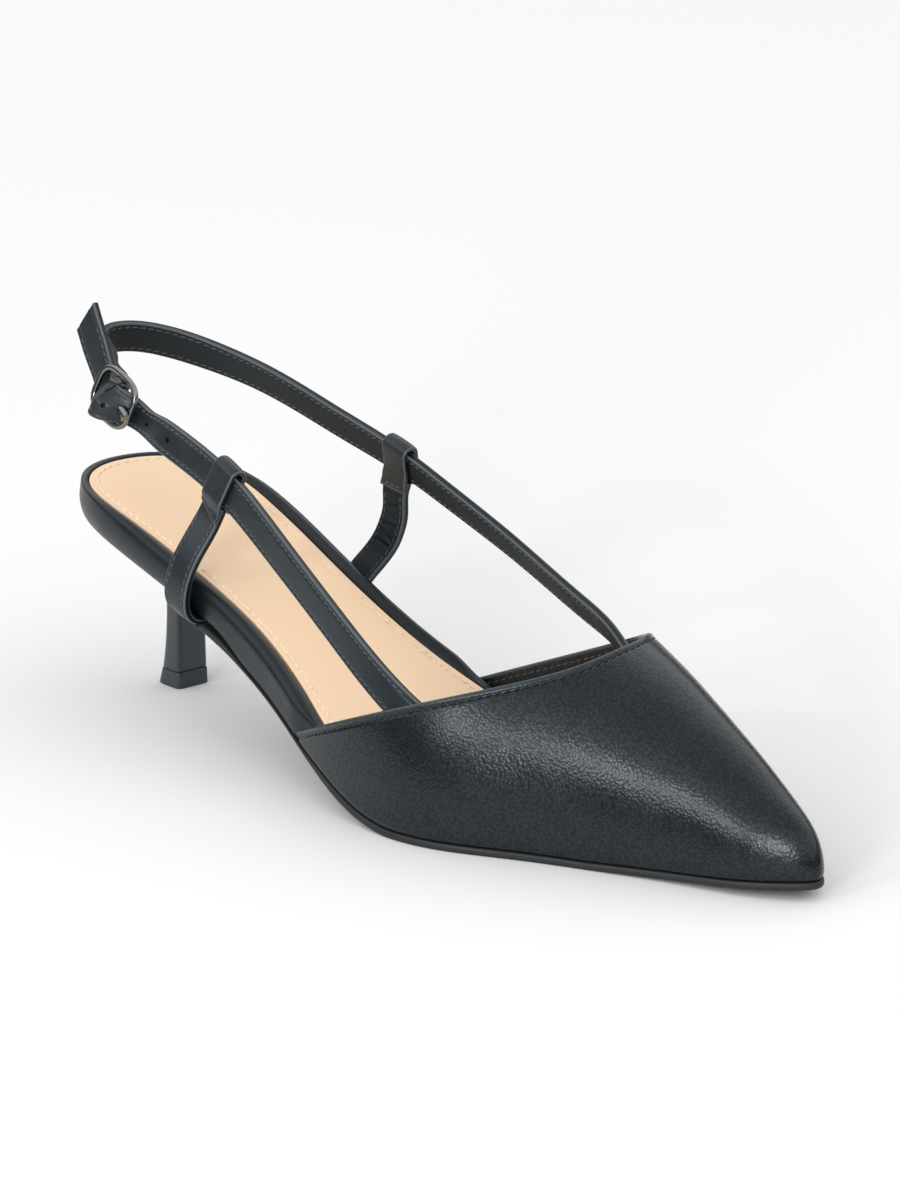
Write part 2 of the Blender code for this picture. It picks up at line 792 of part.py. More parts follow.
def build_strap_back(root):
    """Strap from the medial vamp round the heel, folded round the buckle's bar."""
    rows = [tuple(row) for row in BACK_ROUTE]
    rows += [(*at_buckle(row.along, row.across, row.out), row.lean) for row in FOLD_ROUTE]
    main = smooth_route(rows, STRAP_STEP)
    fold = smooth_route(rows[-1:] + fold_route(), FOLD_STEP)[1:]
    route = np.concatenate([main, fold])
    widths = strap_widths(main[:, :3], main[:, 3], -1.0)
    across = buckle_axes()[1]
    widths = np.concatenate([widths, np.tile(across, (len(fold), 1))])
    sections = []
    for point in route[:, :3]:
        along = np.dot(point - BUCKLE_CENTRE, buckle_axes()[0])
        near = np.linalg.norm(point - BUCKLE_CENTRE) < FOLD_REACH
        thin = 1.0 - smooth_step(along, FOLD_THIN, FOLD_FULL) if near else 0.0
        sections.append(band_section(STRAP_WIDTH, STRAP_THICK + (FOLD_THICK - STRAP_THICK) * thin))
    strap = sweep("strap_back", route[:, :3], widths, sections, "black_leather", root)
    carve(strap, buckle_block("prong_slot", PRONG_SLOT, root))
    return strap


def buckle_block(name, limits, root):
    """Box given by its limits in the buckle's own axes."""
    along, across, out = limits
    rings = []
    for level in out:
        corners = ((0, 0), (1, 0), (1, 1), (0, 1))
        rings.append([at_buckle(along[i], across[j], level) for i, j in corners])
    return stack(name, rings, "gunmetal", root)


def strap_frame(rows, station, inner_side):
    """Centre, run, width and outward directions of a strap at a length from the heel."""
    route = smooth_route(rows, LOOP_SEARCH_STEP)
    widths = strap_widths(route[:, :3], route[:, 3], inner_side)
    number = int(np.argmin(np.abs(route[:, 0] - station)))
    run = unit(np.gradient(route[:, :3], axis=0)[number])
    across = unit(widths[number] - run * np.dot(run, widths[number]))
    return route[number, :3], run, across, np.cross(run, across)


def loop_frame(side):
    """Frame of the strap that runs through the loop on this side."""
    if side == LATERAL:
        return strap_frame(LATERAL_ROUTE, LOOP_STATIONS[side], 1.0)
    return strap_frame(BACK_ROUTE, LOOP_STATIONS[side], -1.0)


def build_loop(side, root):
    """Band folded over the strap, its two ends on the faces of the side strap."""
    centre, run, across, out = loop_frame(side)
    reach = STRAP_THICK / 2.0 + LOOP_CLEAR + LOOP_THICK / 2.0
    shoulder = STRAP_WIDTH / 2.0 - LOOP_SHOULDER_IN
    levels = np.linspace(-LOOP_LEG, shoulder, LOOP_LEG_STEPS)
    path = [(reach, level) for level in levels]
    for turn in np.linspace(0.0, math.pi, LOOP_TURN_STEPS)[1:-1]:
        path.append((reach * math.cos(turn), shoulder + reach * math.sin(turn)))
    path += [(-reach, level) for level in reversed(levels)]
    points = [centre + level * across + offset * out for offset, level in path]
    sections = [band_section(LOOP_WIDTH, LOOP_THICK)] * len(points)
    return sweep("loop_" + side, points, [run] * len(points), sections, "black_leather", root)


def side_strap_mesh(name, side, clearance, finish, root):
    """Short strap from its loop down round the rand, grown by a clearance."""
    centre, run, across, _ = loop_frame(side)
    top = centre - across * (STRAP_WIDTH / 2.0 + SIDE_TOP_CLEAR)
    rows = [(*top, STRAP_THICK), (*(top - across * SIDE_STRAIGHT), STRAP_THICK)]
    rows += [tuple(row) for row in SIDE_ROUTES[side]]
    route = smooth_route(rows, SIDE_STEP)
    blend = np.clip(np.linspace(0.0, SIDE_TURN, len(route)), 0.0, 1.0)[:, None]
    forward = run if run[0] > 0.0 else -run
    foot = route[-1, 0]
    sole_run = np.array([1.0, 0.0, (tread(foot + 1.0) - tread(foot - 1.0)) / 2.0])
    widths = forward * (1.0 - blend) + sole_run * blend
    grown = 2.0 * clearance
    sections = [band_section(STRAP_WIDTH + grown, thick + grown) for thick in route[:, 3]]
    return sweep(name, route[:, :3], widths, sections, finish, root)


def build_buckle_frame(root):
    """Rounded frame with a bar across its middle."""
    along, across, out = buckle_axes()
    centres, widths = [], []
    power = 2.0 / FRAME_POWER
    for side in range(FRAME_SIDES):
        turn = 2.0 * math.pi * side / FRAME_SIDES
        run = math.copysign(abs(math.cos(turn)) ** power, math.cos(turn))
        rise = math.copysign(abs(math.sin(turn)) ** power, math.sin(turn))
        centres.append(at_buckle(FRAME_HALF_LENGTH * run, FRAME_HALF_WIDTH * rise, 0.0))
        widths.append(unit(math.cos(turn) * along + math.sin(turn) * across))
    sections = [band_section(*FRAME_WIRE)] * len(centres)
    frame = sweep("buckle_frame", centres, widths, sections, "gunmetal", root, closed=True)
    ends = [at_buckle(0.0, level, BAR_DEPTH) for level in (-FRAME_HALF_WIDTH, FRAME_HALF_WIDTH)]
    bar = sweep("buckle_bar", ends, [along] * 2, [round_section(BAR_RADIUS)] * 2, "gunmetal", root)
    fuse(frame, bar)
    return frame


def build_buckle_prong(root):
    """Prong hooked on the bar, through the strap, its tip on the frame."""
    reach = BAR_RADIUS + GAP + PRONG_RADIUS
    turns = np.linspace(*PRONG_HOOK, PRONG_HOOK_STEPS)
    hook = [(reach * math.cos(turn), BAR_DEPTH + reach * math.sin(turn)) for turn in turns]
    tip = (-FRAME_HALF_LENGTH - PRONG_OVERHANG, FRAME_WIRE[1] / 2.0 + GAP + PRONG_RADIUS)
    rows = [(*at_buckle(along, 0.0, out), 0.0) for along, out in (*hook, *PRONG_LIE, tip)]
    route = smooth_route(rows, PRONG_STEP)[:, :3]
    across = buckle_axes()[1]
    sections = [round_section(PRONG_RADIUS)] * len(route)
    return sweep("buckle_prong", route, [across] * len(route), sections, "gunmetal", root)


def centre_on_floor(root, pieces):
    """Move the whole shoe so that its box stands centred over the origin."""
    corners = np.array([corner.co for piece in pieces for corner in piece.data.vertices])
    middle = (corners.min(axis=0) + corners.max(axis=0)) / 2.0
    root.location = (-middle[0], -middle[1], 0.0)


def main():
    for old in list(bpy.data.objects):
        bpy.data.objects.remove(old, do_unlink=True)
    root = bpy.data.objects.new("shoe", None)
    bpy.context.scene.collection.objects.link(root)
    outsole = build_outsole(root)
    pieces = [
        outsole,
        build_footbed(root),
        build_insole(root),
        build_upper(root),
        build_heel(root),
        build_top_piece(root),
        build_strap_lateral(root),
        build_strap_back(root),
        build_buckle_frame(root),
        build_buckle_prong(root),
    ]
    for side in (LATERAL, MEDIAL):
        pieces.append(build_loop(side, root))
        pieces.append(side_strap_mesh("side_strap_" + side, side, 0.0, "black_leather", root))
        carve(outsole, side_strap_mesh("tab_notch_" + side, side, GAP, "black_sole", root))
    centre_on_floor(root, pieces)


if __name__ == "__main__":
    main()
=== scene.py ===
"""Studio scene of the right shoe of a black slingback pair with a kitten heel.

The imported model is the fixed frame, and every piece of leather, board and metal is made
here as a finer form in the same place. Lengths are millimetres in the shoe's own axes
until a mesh is made: X from the back of the heel seat to the toe, Y from the outer side
of the foot (lateral, negative) to the inner side (medial, positive), Z up from the floor.
"""

from __future__ import annotations

import logging
import math
from dataclasses import dataclass, field, replace
from enum import Enum
from functools import partial
from typing import Callable, Sequence

import bmesh
import bpy
import numpy as np
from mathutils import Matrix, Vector


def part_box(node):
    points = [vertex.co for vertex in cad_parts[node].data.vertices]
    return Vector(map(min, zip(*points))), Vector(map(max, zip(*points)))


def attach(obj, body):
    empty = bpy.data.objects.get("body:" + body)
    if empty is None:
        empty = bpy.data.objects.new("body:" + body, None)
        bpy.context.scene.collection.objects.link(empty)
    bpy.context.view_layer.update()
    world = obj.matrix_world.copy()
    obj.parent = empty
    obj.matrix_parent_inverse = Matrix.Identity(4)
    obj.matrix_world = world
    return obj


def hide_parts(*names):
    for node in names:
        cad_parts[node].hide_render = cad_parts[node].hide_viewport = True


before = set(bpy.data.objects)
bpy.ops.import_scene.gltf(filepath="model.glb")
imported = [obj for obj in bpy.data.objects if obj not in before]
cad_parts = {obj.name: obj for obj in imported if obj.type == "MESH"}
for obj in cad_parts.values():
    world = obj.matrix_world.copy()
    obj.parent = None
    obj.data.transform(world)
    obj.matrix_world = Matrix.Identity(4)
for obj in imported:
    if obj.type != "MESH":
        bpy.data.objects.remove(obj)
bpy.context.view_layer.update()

LOG = logging.getLogger("slingback")
MM = 0.001
UP = np.array([0.0, 0.0, 1.0])

# Short names for types. A comment over each table of rows names its columns.
Array = np.ndarray
Span = tuple[float, float]
Point = tuple[float, float, float]
Rows = tuple[tuple[float, ...], ...]


class Side(Enum):
    """The two long sides of the right foot."""

    LATERAL = "lateral"
    MEDIAL = "medial"


class Slot(Enum):
    """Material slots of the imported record."""

    LEATHER = "black_leather"
    SOCK = "tan_sock"
    SOLE = "black_sole"
    HEEL = "black_heel"
    METAL = "gunmetal"


class Face(Enum):
    """The two broad faces of a strap."""

    OUTER = 1
    INNER = -1


def linear_colour(code: str) -> tuple[float, float, float, float]:
    """Turn an sRGB hex code into a linear colour.

    Args:
        code: Colour written as #rrggbb.

    Returns:
        Red, green, blue and full opacity, in linear light.
    """
    channels = [int(code[start : start + 2], 16) / 255.0 for start in (1, 3, 5)]
    linear = [c / 12.92 if c <= 0.04045 else ((c + 0.055) / 1.055) ** 2.4 for c in channels]
    return (linear[0], linear[1], linear[2], 1.0)


def unit_rows(vectors: Array) -> Array:
    """Return the vectors of an array at length one."""
    return vectors / np.maximum(np.linalg.norm(vectors, axis=-1, keepdims=True), 1e-12)


def smooth_step(at: Array, start: float, end: float) -> Array:
    """Rise from 0 at the start to 1 at the end, level at both."""
    share = np.clip((np.asarray(at, dtype=float) - start) / (end - start), 0.0, 1.0)
    return share * share * (3.0 - 2.0 * share)


def hump(at: Array, centre: float, width: float) -> Array:
    """Return a soft hump of height one round a centre."""
    return np.exp(-(((np.asarray(at, dtype=float) - centre) / width) ** 2))


def line_lengths(points: Array) -> Array:
    """Return the length along a line from its first point to each point."""
    return np.concatenate([[0.0], np.cumsum(np.linalg.norm(np.diff(points, axis=0), axis=1))])


def full_turn(count: int) -> Array:
    """Return the evenly spaced angles of one whole turn."""
    return 2.0 * math.pi * np.arange(count) / count


def squared_off(wave: Array, power: Array | float) -> Array:
    """Bend a sine or cosine so that its circle becomes a rounded box."""
    return np.sign(wave) * np.abs(wave) ** power


def nearest(distances: Array, allowed: Array) -> int:
    """Return the number of the smallest distance among the allowed ones."""
    return int(np.argmin(np.where(allowed, distances, np.inf)))


class Spline:
    """Natural cubic through rows of values, its bend fading out at both ends."""

    def __init__(self, knots: Sequence[float], values: Sequence) -> None:
        """Solve the bends at the knots.

        Args:
            knots: Rising places of the rows.
            values: One number or one row of numbers for each knot.
        """
        self.knots = np.asarray(knots, dtype=float)
        self.values = np.asarray(values, dtype=float)
        steps = np.diff(self.knots)
        count = len(self.knots)
        system = np.eye(count)
        load = np.zeros(self.values.shape)
        for row in range(1, count - 1):
            before, after = steps[row - 1], steps[row]
            system[row, row - 1 : row + 2] = before, 2.0 * (before + after), after
            rise_after = (self.values[row + 1] - self.values[row]) / after
            rise_before = (self.values[row] - self.values[row - 1]) / before
            load[row] = 6.0 * (rise_after - rise_before)
        self.bends = np.linalg.solve(system, load)

    def __call__(self, at: Array) -> Array:
        """Return the values at the given places.

        Args:
            at: Places between the first knot and the last.

        Returns:
            One value or one row of values for each place.
        """
        places = np.asarray(at, dtype=float)
        row = np.clip(np.searchsorted(self.knots, places) - 1, 0, len(self.knots) - 2)
        step = self.knots[row + 1] - self.knots[row]
        low = (self.knots[row + 1] - places) / step
        high = (places - self.knots[row]) / step
        if self.values.ndim > 1:
            low, high, step = low[..., None], high[..., None], step[..., None]
        cubic = (low**3 - low) * self.bends[row] + (high**3 - high) * self.bends[row + 1]
        return low * self.values[row] + high * self.values[row + 1] + cubic * step * step / 6.0


# Finishes

# Sockets of the colour mix node, which share their names with its other kinds.
MIX_SHARE, MIX_FIRST, MIX_SECOND, MIX_RESULT = 0, 6, 7, 2

# The patterns' own settings, and the ranges in which most of their values lie.
CLOUD_DETAIL = 3.0
CLOUD_ROUGHNESS = 0.55
CLOUD_RANGE = (0.3, 0.7)
CELL_SOFTNESS = 0.3
CELL_RANGE = (0.15, 0.65)
GRIT_DETAIL = 2.0


def add_node(
    tree: bpy.types.NodeTree,
    kind: str,
    settings: dict[str, object] | None = None,
    links: dict[str, bpy.types.NodeSocket] | None = None,
) -> bpy.types.Node:
    """Add a shader node with its settings and links.

    Args:
        tree: The material's node tree.
        kind: Blender's name of the node type.
        settings: Values by property or input name.
        links: Output sockets by the name of the input that they feed.

    Returns:
        The new node.
    """
    node = tree.nodes.new(kind)
    for name, value in (settings or {}).items():
        if name in node.inputs:
            node.inputs[name].default_value = value
        else:
            setattr(node, name, value)
    for name, source in (links or {}).items():
        tree.links.new(source, node.inputs[name])
    return node


def map_range(
    tree: bpy.types.NodeTree,
    value: bpy.types.NodeSocket,
    source: Span,
    target: Span,
) -> bpy.types.NodeSocket:
    """Add a node that maps one range of values to another.

    Args:
        tree: The material's node tree.
        value: Socket with the values.
        source: The range to map from.
        target: The range to map to.

    Returns:
        The socket with the mapped values.
    """
    names = ("From Min", "From Max", "To Min", "To Max")
    ends = dict(zip(names, (*source, *target)))
    return add_node(tree, "ShaderNodeMapRange", ends, {"Value": value}).outputs["Result"]


def cells_per_metre(size_mm: float) -> float:
    """Return the pattern scale that makes one cell this many millimetres wide."""
    return 1.0 / (size_mm * MM)


@dataclass(frozen=True)
class Surface:
    """A finish with mottled colour, uneven gloss and two sizes of relief.

    The relief is cells, such as the pebbles of leather, over a finer grit, each given
    by its width and depth. A lighter colour is painted on as a highlight where a mesh
    marks edges and corners that catch the light.
    The two shine values multiply the mirror strength on the cells and between them.
    """

    name: str
    colour: str
    mottle: str
    # Lighter colour painted on as a highlight where the mesh marks one.
    highlight_paint: str
    mottle_mm: float
    rough: Span
    cell_mm: Span
    grit_mm: Span
    metallic: float = 0.0
    specular: float = 0.5
    coat: float = 0.0
    coat_rough: float = 0.3
    tint: str = "#ffffff"
    crest_shine: float = 1.0
    valley_shine: float = 1.0

    def material(self) -> bpy.types.Material:
        """Make the finish, or fetch it if it has been made."""
        made = bpy.data.materials.get(self.name)
        return made if made is not None else self.build()

    def build(self) -> bpy.types.Material:
        """Build the finish's nodes.

        Returns:
            The new material.
        """
        material = bpy.data.materials.new(self.name)
        material.use_nodes = True
        tree = material.node_tree
        shader = tree.nodes["Principled BSDF"]
        shader.inputs["Metallic"].default_value = self.metallic
        shader.inputs["Specular IOR Level"].default_value = self.specular
        shader.inputs["Specular Tint"].default_value = linear_colour(self.tint)
        shader.inputs["Coat Weight"].default_value = self.coat
        shader.inputs["Coat Roughness"].default_value = self.coat_rough
        place = add_node(tree, "ShaderNodeTexCoord").outputs["Object"]
        scale = cells_per_metre(self.mottle_mm)
        settings = {"Scale": scale, "Detail": CLOUD_DETAIL, "Roughness": CLOUD_ROUGHNESS}
        cloud = add_node(tree, "ShaderNodeTexNoise", settings, {"Vector": place})
        dyed = add_node(tree, "ShaderNodeMix", {"data_type": "RGBA"})
        self.set_colours(dyed, self.colour, self.mottle)
        tree.links.new(cloud.outputs["Fac"], dyed.inputs[MIX_SHARE])
        # The mesh's share of painted highlight mixes the lighter highlight colour in.
        highlight_share = add_node(tree, "ShaderNodeAttribute", {"attribute_name": "highlight_share"})
        highlight_paint = add_node(tree, "ShaderNodeMix", {"data_type": "RGBA"})
        self.set_colours(highlight_paint, self.colour, self.highlight_paint)
        tree.links.new(highlight_share.outputs["Fac"], highlight_paint.inputs[MIX_SHARE])
        tree.links.new(dyed.outputs[MIX_RESULT], highlight_paint.inputs[MIX_FIRST])
        tree.links.new(highlight_paint.outputs[MIX_RESULT], shader.inputs["Base Color"])
        gloss = map_range(tree, cloud.outputs["Fac"], CLOUD_RANGE, self.rough)
        tree.links.new(gloss, shader.inputs["Roughness"])
        scale = cells_per_metre(self.cell_mm[0])
        settings = {"feature": "SMOOTH_F1", "Scale": scale, "Smoothness": CELL_SOFTNESS}
        cells = add_node(tree, "ShaderNodeTexVoronoi", settings, {"Vector": place}).outputs["Distance"]
        if self.valley_shine < self.crest_shine:
            shines = (self.specular * self.crest_shine, self.specular * self.valley_shine)
            shine = map_range(tree, cells, CELL_RANGE, shines)
            tree.links.new(shine, shader.inputs["Specular IOR Level"])
        tree.links.new(self.relief(tree, place, cells), shader.inputs["Normal"])
        return material

    def set_colours(self, mix: bpy.types.Node, first: str, second: str) -> None:
        """Set the two colour inputs of a colour mix from hex codes."""
        mix.inputs[MIX_FIRST].default_value = linear_colour(first)
        mix.inputs[MIX_SECOND].default_value = linear_colour(second)

    def relief(
        self,
        tree: bpy.types.NodeTree,
        place: bpy.types.NodeSocket,
        cells: bpy.types.NodeSocket,
    ) -> bpy.types.NodeSocket:
        """Add the cells and the grit as bump.

        Args:
            tree: The material's node tree.
            place: Socket with the place on the shoe.
            cells: Socket with the distance from the cells' middles.

        Returns:
            The socket with the bumped normal.
        """
        (_, cell_deep), (grit_wide, grit_deep) = self.cell_mm, self.grit_mm
        settings = {"Scale": cells_per_metre(grit_wide), "Detail": GRIT_DETAIL}
        grit = add_node(tree, "ShaderNodeTexNoise", settings, {"Vector": place}).outputs["Fac"]
        settings = {"Strength": 1.0, "Distance": grit_deep * MM}
        low = add_node(tree, "ShaderNodeBump", settings, {"Height": grit}).outputs["Normal"]
        settings = {"Strength": 1.0, "Distance": cell_deep * MM, "invert": True}
        high = add_node(tree, "ShaderNodeBump", settings, {"Height": cells, "Normal": low})
        return high.outputs["Normal"]


# Black finishes mirror the room a little bluish, as the pigment in their top coat does.
COOL = "#e9f4fd"

# Nappa: drum-dyed black leather, embossed with a fine pebble and sealed with a thin
# satin coat. The eye sees a soft, broad highlight broken into dots, since the pebbles'
# tops are rubbed bright and the valleys are not. The pebble is near 0.5 mm on the real
# hide and drawn half as coarse again so that it shows.
NAPPA = Surface(
    name="black_nappa_leather",
    colour="#090f12",
    mottle="#0d1417",
    # Lighter colour of the painted highlight along the vamp's folded topline.
    highlight_paint="#3b4348",
    mottle_mm=11.0,
    rough=(0.24, 0.3),
    cell_mm=(0.75, 0.05),
    grit_mm=(0.35, 0.01),
    specular=0.42,
    tint=COOL,
    crest_shine=1.45,
    valley_shine=0.85,
)

# Strap leather: the same hide with its grain pressed flat under a duller coat. The eye
# sees a paler black with a wide, soft highlight.
STRAP_LEATHER = Surface(
    name="black_strap_leather",
    colour="#161c20",
    mottle="#1a2125",
    # Lighter colour of the painted highlight along the straps' corners and cut ends.
    highlight_paint="#353d42",
    mottle_mm=8.0,
    rough=(0.3, 0.38),
    cell_mm=(0.6, 0.04),
    grit_mm=(0.3, 0.02),
    tint=COOL,
)

# Rand: strap leather dyed deeper and drawn tight over the board, so that the edge stays
# a dark line round the pale sock.
RAND_LEATHER = replace(
    STRAP_LEATHER,
    name="wrapped_rand_leather",
    colour="#0a0f12",
    mottle="#0e1417",
    specular=0.42,
)

# Lining: split leather with a matt sealed face, dark and a little dusty.
LINING = Surface(
    name="black_split_lining",
    colour="#0c1317",
    mottle="#11191d",
    # Lighter colour of the painted highlight on the straps' lining-side corners and cut ends.
    highlight_paint="#222a2e",
    mottle_mm=6.0,
    rough=(0.55, 0.68),
    cell_mm=(0.9, 0.03),
    grit_mm=(0.3, 0.03),
    specular=0.4,
    tint=COOL,
)

# Edge paint: thick brushed-on acrylic that rounds the cut layers and shines a little.
# Its lighter colour is a painted highlight along the edge's corners and on cut ends.
EDGE_PAINT = Surface(
    name="painted_strap_edge",
    colour="#0a0e10",
    mottle="#0e1214",
    highlight_paint="#50575c",
    mottle_mm=3.0,
    rough=(0.34, 0.44),
    cell_mm=(1.4, 0.03),
    grit_mm=(0.4, 0.02),
    specular=0.4,
    tint=COOL,
)

# Sock: nude coated lining leather, smooth and satin, with a very faint pore.
SOCK_LEATHER = Surface(
    name="nude_sock_leather",
    colour="#f6d7b5",
    mottle="#f2d1ad",
    highlight_paint="#f8dec2",
    mottle_mm=26.0,
    rough=(0.5, 0.6),
    cell_mm=(0.9, 0.012),
    grit_mm=(0.4, 0.012),
    specular=0.4,
)

# Sole: injection-moulded rubber, matt with a fine spark-eroded grit.
SOLE_RUBBER = Surface(
    name="moulded_sole_rubber",
    colour="#14181a",
    mottle="#1a1e20",
    highlight_paint="#24292b",
    mottle_mm=7.0,
    rough=(0.48, 0.6),
    cell_mm=(0.8, 0.02),
    grit_mm=(0.35, 0.03),
)

# Top piece: the same rubber pressed harder and buffed, so it is paler and a little glossier.
TOP_RUBBER = replace(
    SOLE_RUBBER,
    name="buffed_top_piece",
    colour="#2c3336",
    mottle="#32393c",
    rough=(0.4, 0.6),
)

# Heel: ABS core sprayed with a satin black lacquer, smooth with a slight orange peel.
HEEL_LACQUER = Surface(
    name="lacquered_abs_heel",
    colour="#293135",
    mottle="#2e363a",
    highlight_paint="#373f43",
    mottle_mm=14.0,
    rough=(0.3, 0.36),
    cell_mm=(1.6, 0.01),
    grit_mm=(0.6, 0.006),
    coat=0.15,
    coat_rough=0.2,
)

# Buckle: zinc die casting, polished and plated in dark nickel (gunmetal).
GUNMETAL = Surface(
    name="dark_nickel_plate",
    colour="#8d8e8c",
    mottle="#7f807f",
    highlight_paint="#a3a4a2",
    mottle_mm=5.0,
    rough=(0.16, 0.24),
    cell_mm=(2.5, 0.004),
    grit_mm=(0.5, 0.002),
    metallic=1.0,
)

# Thread: bonded polyester. The twist of the ply is the fine relief. The colour is
# lifted to dark grey and mottled paler at about a stitch's length: painted glints, so
# that a row of stitches shows as pale ticks.
BLACK_THREAD = Surface(
    name="black_bonded_thread",
    colour="#2b3135",
    mottle="#5e656a",
    highlight_paint="#5e656a",
    mottle_mm=0.8,
    rough=(0.42, 0.55),
    cell_mm=(0.25, 0.03),
    grit_mm=(0.15, 0.01),
)

# On the lining the same thread reads greyer, with the same painted glints, and on the
# sock it matches the leather.
GREY_THREAD = replace(BLACK_THREAD, name="grey_bonded_thread", colour="#2e3336", mottle="#575d61")
NUDE_THREAD = replace(BLACK_THREAD, name="nude_bonded_thread", colour="#f8e6cf", mottle="#f0d9bd")

# The vamp's thread is waxed, so that it lies in its groove as a darker line; its
# painted glints are faint.
WAXED_THREAD = replace(BLACK_THREAD, name="waxed_black_thread", colour="#0d1113", mottle="#23292d")

# Finishes of a strap by finish number: outer face, painted edges, inner face.
BAND_FINISHES = (STRAP_LEATHER, EDGE_PAINT, LINING)


# Shapes


@dataclass(frozen=True)
class Place:
    """Where the shoe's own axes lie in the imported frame."""

    shift: Point

    @classmethod
    def from_frame(cls, sole_length: float, heel_across: float) -> Place:
        """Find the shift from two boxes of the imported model.

        Args:
            sole_length: X of the sole's toe in the shoe's axes.
            heel_across: Y of the middle of the heel's top piece in the shoe's axes.

        Returns:
            The place of the shoe.
        """
        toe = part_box("outsole")[1].x / MM
        low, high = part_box("heel_top_piece")
        across = (low.y + high.y) / 2.0 / MM
        return cls((sole_length - toe, heel_across - across, 0.0))

    def metres(self, points: Array) -> Array:
        """Turn shoe millimetres into the frame's metres."""
        return (np.asarray(points, dtype=float) - np.array(self.shift)) * MM


class Shape:
    """Points, faces, finish numbers and painted highlight of one piece, in shoe millimetres."""

    def __init__(self) -> None:
        """Start with nothing."""
        self.points: list[Array] = []
        self.highlight_share: list[Array] = []
        self.faces: list[tuple[int, ...]] = []
        self.finishes: list[int] = []
        self.count = 0

    def add_points(self, points: Array, highlight_share: Array | None = None) -> Array:
        """Add points of any array shape.

        Args:
            points: Array whose last axis is X, Y and Z.
            highlight_share: Share of painted highlight for each point, none by default.

        Returns:
            The points' numbers in the array's shape.
        """
        shape = points.shape[:-1]
        flat = np.asarray(points, dtype=float).reshape(-1, 3)
        numbers = np.arange(self.count, self.count + len(flat)).reshape(shape)
        self.points.append(flat)
        self.highlight_share.append(np.zeros(len(flat)) if highlight_share is None else np.asarray(highlight_share, dtype=float).ravel())
        self.count += len(flat)
        return numbers

    def add_faces(self, numbers: Array, finish: Sequence[int] | int) -> None:
        """Join a grid of point numbers with four-sided faces, its last column to its first.

        Args:
            numbers: Grid of point numbers.
            finish: Finish number, or one for each strip between two columns.
        """
        rows, columns = numbers.shape
        follow = np.roll(numbers, -1, axis=1)
        corners = np.stack([numbers[:-1], numbers[1:], follow[1:], follow[:-1]], axis=-1)
        kinds = np.broadcast_to(np.asarray(finish), (columns,))
        self.faces += [tuple(face) for face in corners.reshape(-1, 4).tolist()]
        self.finishes += np.tile(kinds, rows - 1).tolist()

    def add_grid(self, points: Array, finish: Sequence[int] | int = 0, highlight_share: Array | None = None) -> Array:
        """Add a grid of points and its faces.

        Args:
            points: Grid of points, rows by columns by three.
            finish: Finish number, or one for each strip between two columns.
            highlight_share: Share of painted highlight for each point.

        Returns:
            The grid of point numbers.
        """
        numbers = self.add_points(points, highlight_share)
        self.add_faces(numbers, finish)
        return numbers

    def add_cap(self, ring: Sequence[int], finish: int = 0) -> None:
        """Close a ring of point numbers with one face."""
        self.faces.append(tuple(int(number) for number in ring))
        self.finishes.append(finish)

    def add_tube(self, rings: Array, finish: Sequence[int] | int = 0, highlight_share: Array | None = None) -> None:
        """Add closed rings along a line and close both ends.

        Args:
            rings: Rings of points, rings by points by three.
            finish: Finish number, or one for each strip along the tube.
            highlight_share: Share of painted highlight for each point.
        """
        numbers = self.add_grid(rings, finish, highlight_share)
        end = int(np.asarray(finish).ravel()[0])
        self.add_cap(numbers[0], end)
        self.add_cap(numbers[-1][::-1], end)


